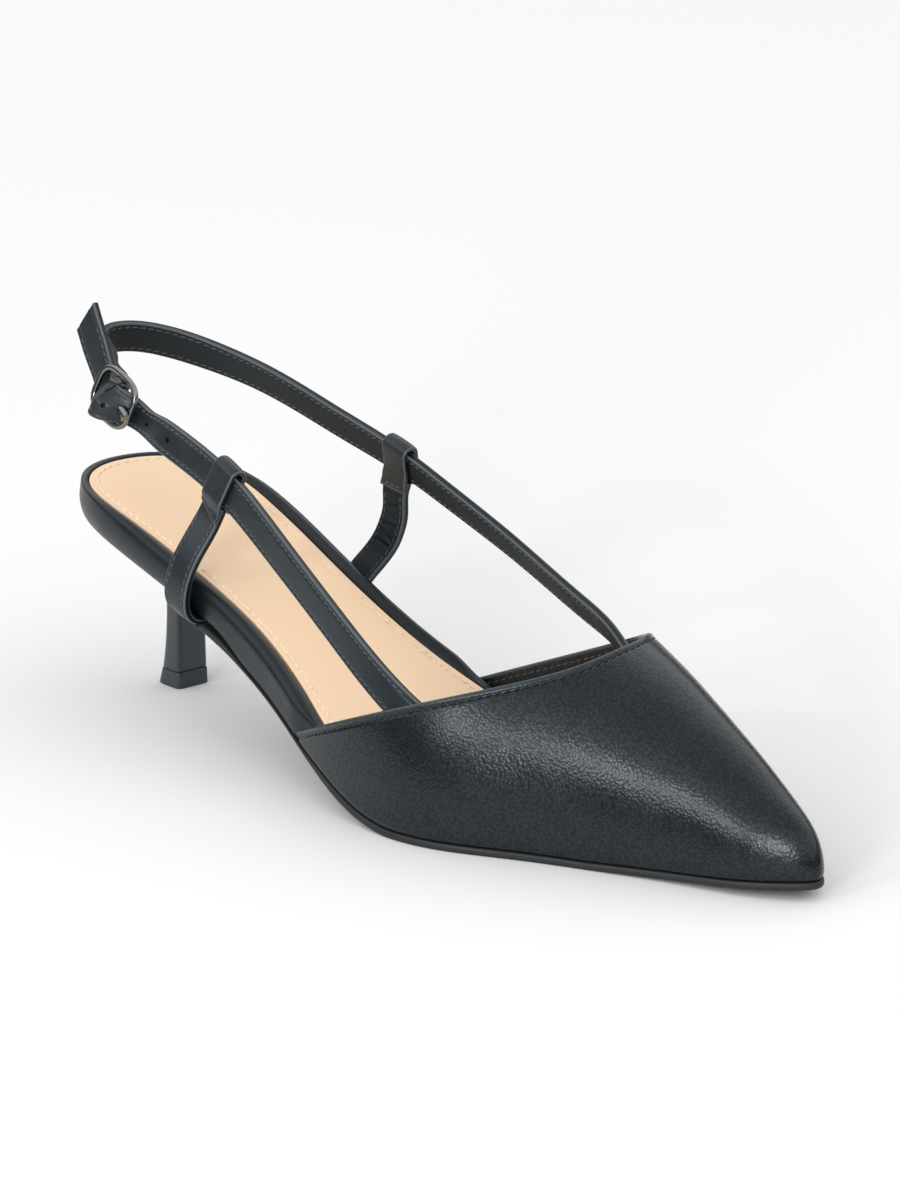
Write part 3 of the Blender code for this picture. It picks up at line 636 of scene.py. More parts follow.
@dataclass
class Workshop:
    """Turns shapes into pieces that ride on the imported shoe."""

    place: Place
    sharp_degrees: float = 48.0
    weld_mm: float = 0.002
    made: list[str] = field(default_factory=list)

    def mesh(self, name: str, shape: Shape) -> bpy.types.Mesh:
        """Make a clean mesh of a shape.

        Args:
            name: The mesh's name.
            shape: The gathered points and faces.

        Returns:
            The mesh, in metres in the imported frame.
        """
        mesh = bpy.data.meshes.new(name)
        points = self.place.metres(np.concatenate(shape.points))
        mesh.from_pydata(points.tolist(), [], shape.faces)
        mesh.polygons.foreach_set("material_index", np.asarray(shape.finishes, dtype=np.int32))
        # Each point's share of painted highlight, kept for the finishes to read.
        highlight_share = mesh.attributes.new("highlight_share", "FLOAT", "POINT")
        highlight_share.data.foreach_set("value", np.concatenate(shape.highlight_share).astype(np.float32))
        work = bmesh.new()
        work.from_mesh(mesh)
        bmesh.ops.remove_doubles(work, verts=work.verts[:], dist=self.weld_mm * MM)
        bmesh.ops.recalc_face_normals(work, faces=work.faces[:])
        work.to_mesh(mesh)
        work.free()
        return mesh

    def piece(
        self,
        name: str,
        shape: Shape,
        finishes: Sequence[Surface],
        slot: Slot,
        node: str | None = None,
        cutter: Shape | None = None,
    ) -> None:
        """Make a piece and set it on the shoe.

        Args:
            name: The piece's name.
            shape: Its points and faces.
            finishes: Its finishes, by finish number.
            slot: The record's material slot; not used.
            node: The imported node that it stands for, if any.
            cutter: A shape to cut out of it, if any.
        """
        mesh = self.mesh(name, shape)
        for finish in finishes:
            mesh.materials.append(finish.material())
        piece = bpy.data.objects.new(name, mesh)
        bpy.context.scene.collection.objects.link(piece)
        if cutter is not None:
            self.cut(piece, cutter)
        piece.data.shade_smooth()
        piece.data.set_sharp_from_angle(angle=math.radians(self.sharp_degrees))
        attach(piece, "root")
        if node is not None:
            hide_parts(node)
        self.made.append(name)
        LOG.info("%s: %d faces", name, len(piece.data.polygons))

    def cut(self, piece: bpy.types.Object, cutter: Shape) -> None:
        """Cut a shape out of a piece for good.

        Args:
            piece: The piece to cut.
            cutter: The closed shape to take out.
        """
        name = piece.name + "_punch"
        tool = bpy.data.objects.new(name, self.mesh(name, cutter))
        for finish in piece.data.materials:
            tool.data.materials.append(finish)
        bpy.context.scene.collection.objects.link(tool)
        cut = piece.modifiers.new("punch", "BOOLEAN")
        cut.operation = "DIFFERENCE"
        cut.solver = "EXACT"
        cut.object = tool
        graph = bpy.context.evaluated_depsgraph_get()
        done = bpy.data.meshes.new_from_object(piece.evaluated_get(graph))
        piece.modifiers.clear()
        before = piece.data
        piece.data = done
        done.name = before.name
        bpy.data.meshes.remove(before)
        bpy.data.objects.remove(tool, do_unlink=True)


@dataclass
class Assembly:
    """A sub-assembly of the shoe, made in a workshop."""

    workshop: Workshop

    def build(self) -> None:
        """Make the sub-assembly's pieces."""
        raise NotImplementedError


@dataclass(frozen=True)
class Thread:
    """One kind of stitch: its spacing along the row, length, thickness and lie."""

    pitch: float
    length: float
    thick: float
    sunk: float = 0.12
    slant: float = 0.12
    blunt: float = 0.12
    dip: float = 0.9
    rings: int = 7
    sides: int = 6

    def sew(self, shape: Shape, path: Array, normals: Array) -> None:
        """Sew a row of stitches along a line on a surface.

        Args:
            shape: The shape that takes the stitches.
            path: Points along the row.
            normals: The surface's outward direction at each point.
        """
        lengths = line_lengths(path)
        count = int(lengths[-1] // self.pitch)
        start = (lengths[-1] - (count - 1) * self.pitch) / 2.0
        along = np.linspace(-1.0, 1.0, self.rings)
        turns = full_turn(self.sides)
        radius = self.thick / 2.0 * np.sqrt(np.maximum(1.0 - along**4, self.blunt))
        for number in range(count):
            centre = start + number * self.pitch
            stations = centre + along * self.length / 2.0
            points = np.stack([np.interp(stations, lengths, path[:, axis]) for axis in range(3)], axis=1)
            out = np.array([np.interp(centre, lengths, normals[:, axis]) for axis in range(3)])
            out = out / np.linalg.norm(out)
            run = points[-1] - points[0]
            run = run / np.linalg.norm(run)
            across = np.cross(out, run)
            lift = self.thick / 2.0 - self.sunk - self.dip * self.sunk * along**2
            points = points + lift[:, None] * out + (self.slant * along)[:, None] * across
            ring = np.cos(turns)[None, :, None] * across + np.sin(turns)[None, :, None] * out
            shape.add_tube(points[:, None, :] + radius[:, None, None] * ring)


# Last and sole


# Stations of the sole: X, outer edge, inner edge, the sock's top, the outsole's underside.
SOLE_ROWS = (
    (0.0, -1.6, -1.6, 54.2, 42.4),
    (3.0, -12.6, 11.2, 53.9, 42.3),
    (12.0, -20.8, 19.9, 52.8, 41.4),
    (28.0, -25.4, 24.0, 50.3, 39.0),
    (60.0, -27.7, 21.2, 42.6, 31.9),
    (90.0, -29.3, 18.3, 33.0, 22.4),
    (110.0, -33.1, 20.5, 24.6, 14.5),
    (130.0, -38.2, 26.4, 15.4, 6.7),
    (150.0, -40.7, 31.7, 8.2, 0.9),
    (170.0, -38.1, 37.0, 6.4, -0.4),
    (190.0, -27.8, 34.6, 6.4, -0.5),
    (210.0, -17.9, 28.9, 6.7, 0.1),
    (230.0, -9.4, 23.6, 7.3, 0.9),
    (245.0, -3.7, 19.6, 8.0, 1.8),
    (255.0, 2.3, 15.4, 8.6, 2.6),
    (261.0, 9.0, 9.0, 9.0, 3.1),
)

# Stations of the last's ridge over the forefoot: X, place across, height.
RIDGE_ROWS = (
    (100.0, 0.0, 88.0),
    (150.0, 4.0, 65.5),
    (187.0, 7.5, 49.8),
    (200.0, 8.6, 44.9),
    (215.0, 9.3, 38.4),
    (230.0, 9.2, 31.4),
    (245.0, 9.0, 23.3),
    (255.0, 9.0, 17.5),
    (261.0, 9.0, 5.8),
)

# How far the topline bows off its plane: place, height. The place is 0 at the lateral
# corner, 1 on the ridge and 2 at the medial corner.
BOW_ROWS = (
    (0.0, 0.0),
    (0.3, -0.9),
    (0.65, -2.8),
    (1.0, -0.5),
    (1.3, 1.1),
    (1.7, 1.2),
    (2.0, 1.6),
)


@dataclass
class Last:
    """The form that the shoe is made on: outline, arch, toe spring and vamp skin."""

    length: float = 261.0
    sole_thick: float = 2.0
    waist_thick: float = 0.7
    waist: tuple[float, float, float, float] = (74.0, 90.0, 112.0, 135.0)
    gap: float = 0.3
    lateral_power: float = 2.2
    medial_power: float = 2.4
    topline_x: float = 107.0
    topline_height: float = 12.1
    topline_slope: float = 0.435
    topline_search: Span = (95.0, 225.0)
    topline_halvings: int = 50

    def __post_init__(self) -> None:
        """Draw the smooth lines through the tables."""
        x, lateral, medial, sock, tread = np.array(SOLE_ROWS).T
        ridge_x, ridge_across, ridge_height = np.array(RIDGE_ROWS).T
        shares, ridge = self.share(x), self.share(ridge_x)
        self.edges = {Side.LATERAL: Spline(shares, lateral), Side.MEDIAL: Spline(shares, medial)}
        self.sock = Spline(x, sock)
        self.raw_tread = Spline(x, tread)
        self.ridge_across = Spline(ridge, ridge_across)
        self.ridge_height = Spline(ridge, ridge_height)
        self.bow = Spline(*np.array(BOW_ROWS).T)

    def share(self, x: Array) -> Array:
        """Turn lengths from the heel into shares that are fine at both round ends."""
        return np.arccos(np.clip(1.0 - 2.0 * np.asarray(x) / self.length, -1.0, 1.0)) / math.pi

    def x(self, share: Array) -> Array:
        """Turn shares along the sole back into lengths from the heel."""
        return self.length * (1.0 - np.cos(math.pi * np.asarray(share))) / 2.0

    def tread(self, x: Array) -> Array:
        """Return the height of the outsole's underside, flat under the ball."""
        return np.maximum(self.raw_tread(x), 0.0)

    def sole(self, x: Array) -> Array:
        """Return the outsole's thickness, skived thin at the waist.

        Args:
            x: Lengths from the heel.

        Returns:
            The thickness at each length.
        """
        start, thin, end, full = self.waist
        skived = smooth_step(x, start, thin) * (1.0 - smooth_step(x, end, full))
        return self.sole_thick + (self.waist_thick - self.sole_thick) * skived

    def seat(self, x: Array) -> Array:
        """Return the height where the footbed and the vamp stand on the outsole."""
        return self.tread(x) + self.sole(x) + self.gap

    def outline(self, side: Side, share: Array, inset: Array) -> Array:
        """Return the outline in plan, moved square to the edge.

        Args:
            side: Side of the foot.
            share: Shares along the sole.
            inset: How far in from the edge.

        Returns:
            X and Y for each share.
        """
        step = 1e-4
        low, high = np.clip(share - step, 0.0, 1.0), np.clip(share + step, 0.0, 1.0)
        run = self.x(high) - self.x(low)
        rise = self.edges[side](high) - self.edges[side](low)
        inward = np.stack([-rise, run], -1) if side is Side.LATERAL else np.stack([rise, -run], -1)
        plan = np.stack([self.x(share), self.edges[side](share)], -1)
        return plan + np.asarray(inset)[..., None] * unit_rows(inward)

    def skin(self, side: Side, share: Array, lift: Array) -> Array:
        """Return points of the vamp's outer face.

        Args:
            side: Side of the foot.
            share: Shares along the sole.
            lift: 0 at the sole, 1 on the ridge.

        Returns:
            Points, one for each share and lift.
        """
        x = self.x(share)
        foot = self.seat(x)
        across = self.ridge_across(share)
        reach = self.edges[side](share) - across
        power = 2.0 / (self.lateral_power if side is Side.LATERAL else self.medial_power)
        angle = np.asarray(lift) * math.pi / 2.0
        y = across + reach * np.maximum(np.cos(angle), 0.0) ** power
        z = foot + (self.ridge_height(share) - foot) * np.maximum(np.sin(angle), 0.0) ** power
        return np.stack([x, y, z], -1)

    def skin_normal(self, side: Side, share: Array, lift: Array) -> Array:
        """Return the outward directions of the vamp's outer face.

        Args:
            side: Side of the foot.
            share: Shares along the sole.
            lift: 0 at the sole, 1 on the ridge.

        Returns:
            One direction for each share and lift.
        """
        step, tip = 1e-3, 1.0 - 1e-5
        back, ahead = share - step, np.minimum(share + step, tip)
        run = self.skin(side, ahead, lift) - self.skin(side, back, lift)
        low, high = np.clip(lift - step, 0.0, 1.0), np.clip(lift + step, 0.0, 1.0)
        over = self.skin(side, share, high) - self.skin(side, share, low)
        normal = np.cross(run, over) if side is Side.LATERAL else np.cross(over, run)
        return unit_rows(normal)

    def under_topline(self, side: Side, lift: Array, points: Array) -> Array:
        """Return how far points lie under the surface that cuts the topline.

        Args:
            side: Side of the foot.
            lift: The points' lifts on the skin.
            points: The points.

        Returns:
            Distances, positive under the topline.
        """
        bow = self.bow(lift if side is Side.LATERAL else 2.0 - np.asarray(lift))
        level = self.topline_height + bow + self.topline_slope * (points[..., 0] - self.topline_x)
        return (level - points[..., 2]) / math.hypot(1.0, self.topline_slope)

    def topline_share(self, side: Side, lift: Array) -> Array:
        """Return where along the sole the topline cuts the arch.

        Args:
            side: Side of the foot.
            lift: 0 at the sole, 1 on the ridge.

        Returns:
            One share along the sole for each lift.
        """
        ends = (float(self.share(np.array(x))) for x in self.topline_search)
        low, high = (np.full(np.shape(lift), end) for end in ends)
        for _ in range(self.topline_halvings):
            middle = (low + high) / 2.0
            under = self.under_topline(side, lift, self.skin(side, middle, lift)) > 0.0
            low, high = np.where(under, low, middle), np.where(under, middle, high)
        return (low + high) / 2.0


# One line over the vamp: its shares, its lifts and its lengths from the topline.
Trace = tuple[Array, Array, Array]


@dataclass
class Vamp(Assembly):
    """Pointed vamp: one hollow wall with a folded, stitched topline."""

    last: Last
    wall: float = 1.6
    columns: int = 116
    first_lift: float = 0.02
    tip_from: float = 0.9
    fine_reach: float = 4.8
    fine_rows: int = 20
    broad_rows: int = 66
    roll_rows: int = 8
    inner_rows: int = 36
    inner_end: float = 256.0
    stitch_at: float = 2.0
    groove_deep: float = 0.34
    groove_wide: float = 0.42
    fold_swell: float = 0.16
    feather_height: float = 1.8
    feather_tuck: float = 0.5
    fold_before: float = 0.2
    fold_after: float = 0.5
    roll_share: float = 0.3
    fine_share: float = 0.5
    # Painted highlight along the folded topline: its share on the face at the edge, the distances over which
    # it fades, and its share on the roll.
    edge_highlight: float = 0.45
    edge_highlight_span: Span = (1.0, 1.7)
    roll_highlight: float = 0.7
    uneven: float = 0.012
    swell: tuple[float, float, float, float] = (4.1, 6.3, 5.3, 7.7)
    cross_swell: Point = (7.9, 4.7, 8.1)
    swell_bend: float = 0.9
    cross_share: float = 0.6
    swell_starts: Point = (0.6, 1.3, 0.4)
    calm_edge: Span = (3.0, 9.0)
    calm_sole: Span = (2.0, 8.0)
    steepest: float = 0.05
    trace_steps: int = 90
    tip_short: float = 1e-4
    search_from: float = 0.3
    search_reach: float = 3.0
    search_steps: int = 40
    thread_sink: float = 0.5
    thread: Thread = Thread(pitch=2.35, length=1.75, thick=0.42)

    def trace(self, side: Side) -> list[Trace]:
        """Fan lines over the skin from the topline to the sole and the toe.

        Args:
            side: Side of the foot.

        Returns:
            For each line its shares, lifts and lengths from the topline, densely.
        """
        starts = np.linspace(self.first_lift, 1.0, self.columns)
        shares = self.last.topline_share(side, starts)
        corner = float(self.last.topline_share(side, np.array(0.0)))
        along = np.linspace(0.0, 1.0, self.trace_steps)
        lines = []
        for lift, share in zip(starts, shares):
            far_share = corner + (1.0 - corner) * min(lift / self.tip_from, 1.0)
            far_share = max(far_share, share) if lift > self.tip_from else far_share
            far_lift = max(lift - self.tip_from, 0.0) / (1.0 - self.tip_from)
            line_share = share + (min(far_share, 1.0 - self.tip_short) - share) * along
            line_lift = lift + (far_lift - lift) * along
            points = self.last.skin(side, line_share, line_lift)
            lines.append((line_share, line_lift, line_lengths(points)))
        return lines

    def edge_distance(self, side: Side, lift: Array, points: Array, normals: Array) -> Array:
        """Return how far points lie from the topline along the skin.

        Args:
            side: Side of the foot.
            lift: The points' lifts on the skin.
            points: Points of the skin.
            normals: Outward directions there.

        Returns:
            Distances from the topline.
        """
        plane = np.array([-self.last.topline_slope, 0.0, 1.0]) / math.hypot(1.0, self.last.topline_slope)
        tilt = normals @ plane
        slope = np.sqrt(np.maximum(1.0 - tilt**2, self.steepest))
        return self.last.under_topline(side, lift, points) / slope

    def swells(self, points: Array) -> Array:
        """Return two sets of slight swells that never fall in step.

        Args:
            points: Points of the skin.

        Returns:
            The swells' height as a share of the unevenness.
        """
        x, y, z = points[..., 0], points[..., 1], points[..., 2]
        long_x, bend_y, long_y, long_z = self.swell
        cross_x, cross_z, cross_y = self.cross_swell
        start, cross_start, cross_turn = self.swell_starts
        bent = np.sin(x / long_x + self.swell_bend * np.sin(y / bend_y))
        waves = bent * np.sin(y / long_y + z / long_z + start)
        crossing = self.cross_share * np.sin(x / cross_x - z / cross_z + cross_start)
        return waves + crossing * np.cos(y / cross_y + cross_turn)

    def relief(self, edge: Array, points: Array) -> Array:
        """Return how far the leather stands off the last.

        Args:
            edge: Distances from the topline.
            points: Points of the skin.

        Returns:
            Heights over the skin: the folded edge, the stitch groove, the turn at the
            sole and the slight unevenness of pulled leather.
        """
        fold_from, fold_to = self.stitch_at - self.fold_before, self.stitch_at + self.fold_after
        fold = self.fold_swell * (1.0 - smooth_step(edge, fold_from, fold_to))
        groove = self.groove_deep * hump(edge, self.stitch_at, self.groove_wide)
        over_sole = points[..., 2] - self.last.seat(points[..., 0])
        tuck = self.feather_tuck * np.clip(1.0 - over_sole / self.feather_height, 0.0, 1.0) ** 2
        free = smooth_step(edge, *self.calm_edge) * smooth_step(over_sole, *self.calm_sole)
        return fold - groove - tuck + self.uneven * self.swells(points) * free

    def column(self, side: Side, line: Trace) -> tuple[Array, Array]:
        """Lay one line of the wall: up the outside, over the fold and down inside.

        Args:
            side: Side of the foot.
            line: Shares, lifts and lengths along the skin.

        Returns:
            The points of the line and their share of painted highlight.
        """
        shares, lifts, lengths = line
        total = lengths[-1]
        radius = min(self.wall / 2.0, self.roll_share * total)
        reach = min(self.fine_reach, self.fine_share * total)
        fine = np.linspace(radius, reach, self.fine_rows)
        broad = np.linspace(reach, total, self.broad_rows + 1)[1:]
        outer_at = np.concatenate([fine, broad])
        share, lift = np.interp(outer_at, lengths, shares), np.interp(outer_at, lengths, lifts)
        skin, normal = self.last.skin(side, share, lift), self.last.skin_normal(side, share, lift)
        edge = self.edge_distance(side, lift, skin, normal)
        outer = skin + self.relief(edge, skin)[:, None] * normal
        inner_at = np.linspace(radius, total, self.inner_rows)
        inner_limit = float(self.last.share(np.array(self.inner_end)))
        share_in = np.minimum(np.interp(inner_at, lengths, shares), inner_limit)
        lift_in = np.interp(inner_at, lengths, lifts)
        inner = self.last.skin(side, share_in, lift_in)
        inner = inner - self.wall * self.last.skin_normal(side, share_in, lift_in)
        away = unit_rows(outer[0] - outer[1])
        middle = (outer[0] + inner[0]) / 2.0
        half = (outer[0] - inner[0]) / 2.0
        turns = np.linspace(0.0, math.pi, self.roll_rows + 2)[1:-1]
        roll = middle + np.cos(turns)[:, None] * half + (radius * np.sin(turns))[:, None] * away
        points = np.concatenate([outer[::-1], roll, inner])
        # The folded topline is painted lighter: a painted highlight on the rolled edge that fades out on the
        # face just below it.
        outer_highlight = self.edge_highlight * (1.0 - smooth_step(edge, *self.edge_highlight_span))
        roll_highlight = np.full(len(roll), self.roll_highlight)
        return points, np.concatenate([outer_highlight[::-1], roll_highlight, np.zeros(len(inner))])

    def stitch_line(self, side: Side, lines: list[Trace]) -> tuple[Array, Array]:
        """Find the stitch row under the topline.

        Args:
            side: Side of the foot.
            lines: The lines over the skin, from the topline down.

        Returns:
            The row's points and the skin's directions there.
        """
        points, normals = [], []
        reach = self.search_reach * self.stitch_at
        for shares, lifts, lengths in lines:
            if lengths[-1] < reach:
                continue
            near = np.linspace(self.search_from, reach, self.search_steps)
            share, lift = np.interp(near, lengths, shares), np.interp(near, lengths, lifts)
            skin, normal = self.last.skin(side, share, lift), self.last.skin_normal(side, share, lift)
            at = np.interp(self.stitch_at, self.edge_distance(side, lift, skin, normal), near)
            share, lift = np.interp(at, lengths, shares), np.interp(at, lengths, lifts)
            direction = self.last.skin_normal(side, share, lift)
            sunk = self.thread_sink * self.groove_deep * direction
            points.append(self.last.skin(side, share, lift) - sunk)
            normals.append(direction)
        return np.array(points), np.array(normals)

    def build(self) -> None:
        """Make the vamp and its stitch rows."""
        traces = {side: self.trace(side) for side in Side}
        laid = [self.column(Side.LATERAL, line) for line in traces[Side.LATERAL]]
        laid += [self.column(Side.MEDIAL, line) for line in traces[Side.MEDIAL][-2::-1]]
        grid = np.array([points for points, _ in laid])
        highlight_share = np.array([share for _, share in laid])
        outer_count = self.fine_rows + self.broad_rows + self.roll_rows
        finish = [0] * (outer_count + 2) + [1] * (self.inner_rows - 2)
        shape = Shape()
        shape.add_tube(grid, finish, highlight_share)
        self.workshop.piece("vamp", shape, (NAPPA, LINING), Slot.LEATHER, "upper")
        lateral, lateral_out = self.stitch_line(Side.LATERAL, traces[Side.LATERAL])
        medial, medial_out = self.stitch_line(Side.MEDIAL, traces[Side.MEDIAL])
        row = np.concatenate([lateral, medial[-2::-1]])
        out = np.concatenate([lateral_out, medial_out[-2::-1]])
        outside, inside = Shape(), Shape()
        self.thread.sew(outside, row, out)
        self.thread.sew(inside, row - (self.wall - self.groove_deep) * out, -out)
        self.workshop.piece("vamp_stitches", outside, (WAXED_THREAD,), Slot.LEATHER)
        self.workshop.piece("vamp_stitches_inside", inside, (GREY_THREAD,), Slot.LEATHER)


@dataclass(frozen=True)
class RandRow:
    """A line of the wrapped edge: inset, depth as a share of the board, lift."""

    inset: float
    depth: float
    lift: float


@dataclass
class Footbed(Assembly):
    """Board wrapped in leather, its round edge (the rand) standing round the sock."""

    last: Last
    stations: int = 200
    rings: int = 44
    tuck_inset: float = 2.1
    tuck_rounding: float = 0.58
    tuck_from: float = 112.0
    tuck_to: float = 122.0
    upright_from: float = 70.0
    upright_to: float = 88.0
    upright_inset: float = 0.2
    bead_at_back: float = 0.25
    bead_full: float = 40.0
    narrow_at_back: float = 0.42
    narrow_end: float = 50.0
    rows: tuple[RandRow, ...] = tuple(
        RandRow(*row)
        for row in (
            (5.0, 0.0, -1.3),
            (4.7, 0.0, -0.2),
            (3.7, 0.0, 0.8),
            (2.4, 0.0, 1.2),
            (1.1, 0.0, 0.6),
            (0.3, 0.13, 0.0),
            (0.0, 0.42, 0.0),
            (0.3, 0.7, 0.0),
            (1.1, 0.9, 0.0),
            (2.4, 1.0, 0.0),
        )
    )

    def inset(self, row: RandRow, x: Array) -> Array:
        """Return a line's inset from the sole's edge.

        The rand is narrow on top round the back, upright at the waist and drawn in
        inside the vamp.

        Args:
            row: The line.
            x: Lengths from the heel.

        Returns:
            The inset at each length.
        """
        narrow = self.narrow_at_back + (1.0 - self.narrow_at_back) * smooth_step(x, 0.0, self.narrow_end)
        upright = 1.0 - (1.0 - self.upright_inset) * smooth_step(x, self.upright_from, self.upright_to)
        inset = row.inset * (narrow if row.depth == 0.0 else upright)
        inside = smooth_step(x, self.tuck_from, self.tuck_to)
        return (1.0 - inside) * inset + inside * (self.tuck_inset + self.tuck_rounding * inset)

    def bead(self, x: Array) -> Array:
        """Return the share of the bead: low round the back, none inside the vamp."""
        from_back = self.bead_at_back + (1.0 - self.bead_at_back) * smooth_step(x, 0.0, self.bead_full)
        return from_back * (1.0 - smooth_step(x, self.tuck_from, self.tuck_to))

    def ring(self, side: Side, share: Array, row: RandRow) -> Array:
        """Return one line of the rand on one side.

        Args:
            side: Side of the foot.
            share: Shares along the sole.
            row: Inset, depth and lift.

        Returns:
            Points along the line.
        """
        plan = self.last.outline(side, share, self.inset(row, self.last.x(share)))
        x = plan[:, 0]
        top = self.last.sock(x)
        level = top - row.depth * (top - self.last.seat(x))
        lift = row.lift * self.bead(x) if row.lift > 0.0 else np.full(len(x), row.lift)
        return np.column_stack([plan, level + lift])

    def build(self) -> None:
        """Make the wrapped board."""
        shares = np.linspace(0.0, 1.0, self.stations)
        loops = []
        for row in self.rows:
            lateral = self.ring(Side.LATERAL, shares, row)
            medial = self.ring(Side.MEDIAL, shares, row)
            loops.append(np.concatenate([lateral, medial[-2:0:-1]]))
        lines = Spline(range(len(loops)), np.array(loops).reshape(len(loops), -1))
        fine = lines(np.linspace(0.0, len(loops) - 1.0, self.rings))
        shape = Shape()
        numbers = shape.add_grid(fine.reshape(self.rings, -1, 3))
        for ring in (numbers[0], numbers[-1]):
            sole_cap(shape, ring, self.stations)
        self.workshop.piece("footbed_rand", shape, (RAND_LEATHER,), Slot.LEATHER, "footbed")


def sole_cap(shape: Shape, ring: Array, stations: int) -> None:
    """Close a sole-shaped ring with strips from side to side.

    Args:
        shape: The shape that takes the faces.
        ring: Point numbers down the lateral side and back up the medial side.
        stations: How many points the lateral side has.
    """
    shared = 2 * stations - 1 - len(ring)
    lateral = ring[:stations]
    medial = np.concatenate([ring[:shared], ring[stations:][::-1], ring[stations - 1 : stations]])
    for step in range(stations - 1):
        corners = (lateral[step], lateral[step + 1], medial[step + 1], medial[step])
        shape.add_cap(tuple(dict.fromkeys(corners)))


@dataclass
class Sock(Assembly):
    """Tan sock glued in the footbed's recess, with a stitch row round its edge."""

    last: Last
    footbed: Footbed
    thick: float = 1.0
    stations: int = 240
    across: int = 96
    edge_round: float = 0.35
    dish: float = 0.9
    stitch_in: float = 2.1
    stitch_end: float = 128.0
    groove_deep: float = 0.1
    groove_wide: float = 0.7
    dish_rise: Span = (2.0, 30.0)
    dish_fade: Span = (60.0, 110.0)
    dish_lost: float = 0.5
    edge_profile: Rows = ((0.0, 0.3), (0.1, 0.1), (0.22, 0.02))
    row_steps: int = 260
    least_step: float = 0.02
    neighbours: int = 4
    thread: Thread = Thread(pitch=2.9, length=2.0, thick=0.5, sunk=0.1, slant=0.05)

    def edge(self, side: Side, share: Array, inward: float, drop: float) -> Array:
        """Return a line parallel to the sock's edge.

        Args:
            side: Side of the foot.
            share: Shares along the sole.
            inward: How far in from the sock's edge.
            drop: How far under its top.

        Returns:
            Points along the line.
        """
        clear = self.footbed.inset(self.footbed.rows[0], self.last.x(share)) + self.last.gap
        plan = self.last.outline(side, share, clear + inward)
        return np.column_stack([plan, self.last.sock(plan[:, 0]) - drop])

    def stitch_line(self) -> Array:
        """Lay the stitch row from the vamp round the heel and back.

        Returns:
            Points along the row, none of them twice.
        """
        end = float(self.last.share(np.array(self.stitch_end)))
        shares = np.linspace(0.0, end, self.row_steps)
        lateral, medial = (self.edge(side, shares, self.stitch_in, 0.0) for side in Side)
        row = np.concatenate([lateral[::-1], medial[1:]])
        moved = np.abs(np.diff(row[:, :2], axis=0)).sum(axis=1)
        return row[np.concatenate([[True], moved > self.least_step])]

    def build(self) -> None:
        """Make the sock and its stitches."""
        shares = np.linspace(0.0, 1.0, self.stations)
        row = self.stitch_line()
        weights = np.linspace(0.0, 1.0, self.across)
        lateral, medial = (self.edge(side, shares, self.edge_round, 0.0)[:, None] for side in Side)
        share = weights[None, :, None]
        top = lateral * (1.0 - share) + medial * share
        x = top[..., 0]
        fading = 1.0 - self.dish_lost * smooth_step(x, *self.dish_fade)
        hollow = self.dish * smooth_step(x, *self.dish_rise) * fading
        top[..., 2] -= hollow * (4.0 * weights * (1.0 - weights))[None, :]
        flat = top[..., :2].reshape(-1, 1, 2)
        gap = np.sqrt(((flat - row[None, :, :2]) ** 2).sum(axis=2)).min(axis=1).reshape(x.shape)
        top[..., 2] -= self.groove_deep * hump(gap, 0.0, self.groove_wide)
        profile = ((0.0, self.thick), *self.edge_profile)
        left, right = ([self.edge(side, shares, *step)[:, None] for step in profile] for side in Side)
        shape = Shape()
        shape.add_grid(np.concatenate([*left, top, *reversed(right)], axis=1))
        self.workshop.piece("sock", shape, (SOCK_LEATHER,), Slot.SOCK, "insole")
        heights = np.array([self.height_near(top, point) for point in row])
        seated = np.column_stack([row[:, :2], heights])
        sewn = Shape()
        self.thread.sew(sewn, seated, np.tile(UP, (len(row), 1)))
        self.workshop.piece("sock_stitches", sewn, (NUDE_THREAD,), Slot.SOCK)

    def height_near(self, top: Array, point: Array) -> float:
        """Return the sock's height at a point in plan.

        Args:
            top: Grid of the sock's upper face.
            point: The point.

        Returns:
            The mean height of the grid's points next to it.
        """
        flat = top.reshape(-1, 3)
        beside = np.argsort(((flat[:, :2] - point[:2]) ** 2).sum(axis=1))[: self.neighbours]
        return float(flat[beside, 2].mean())


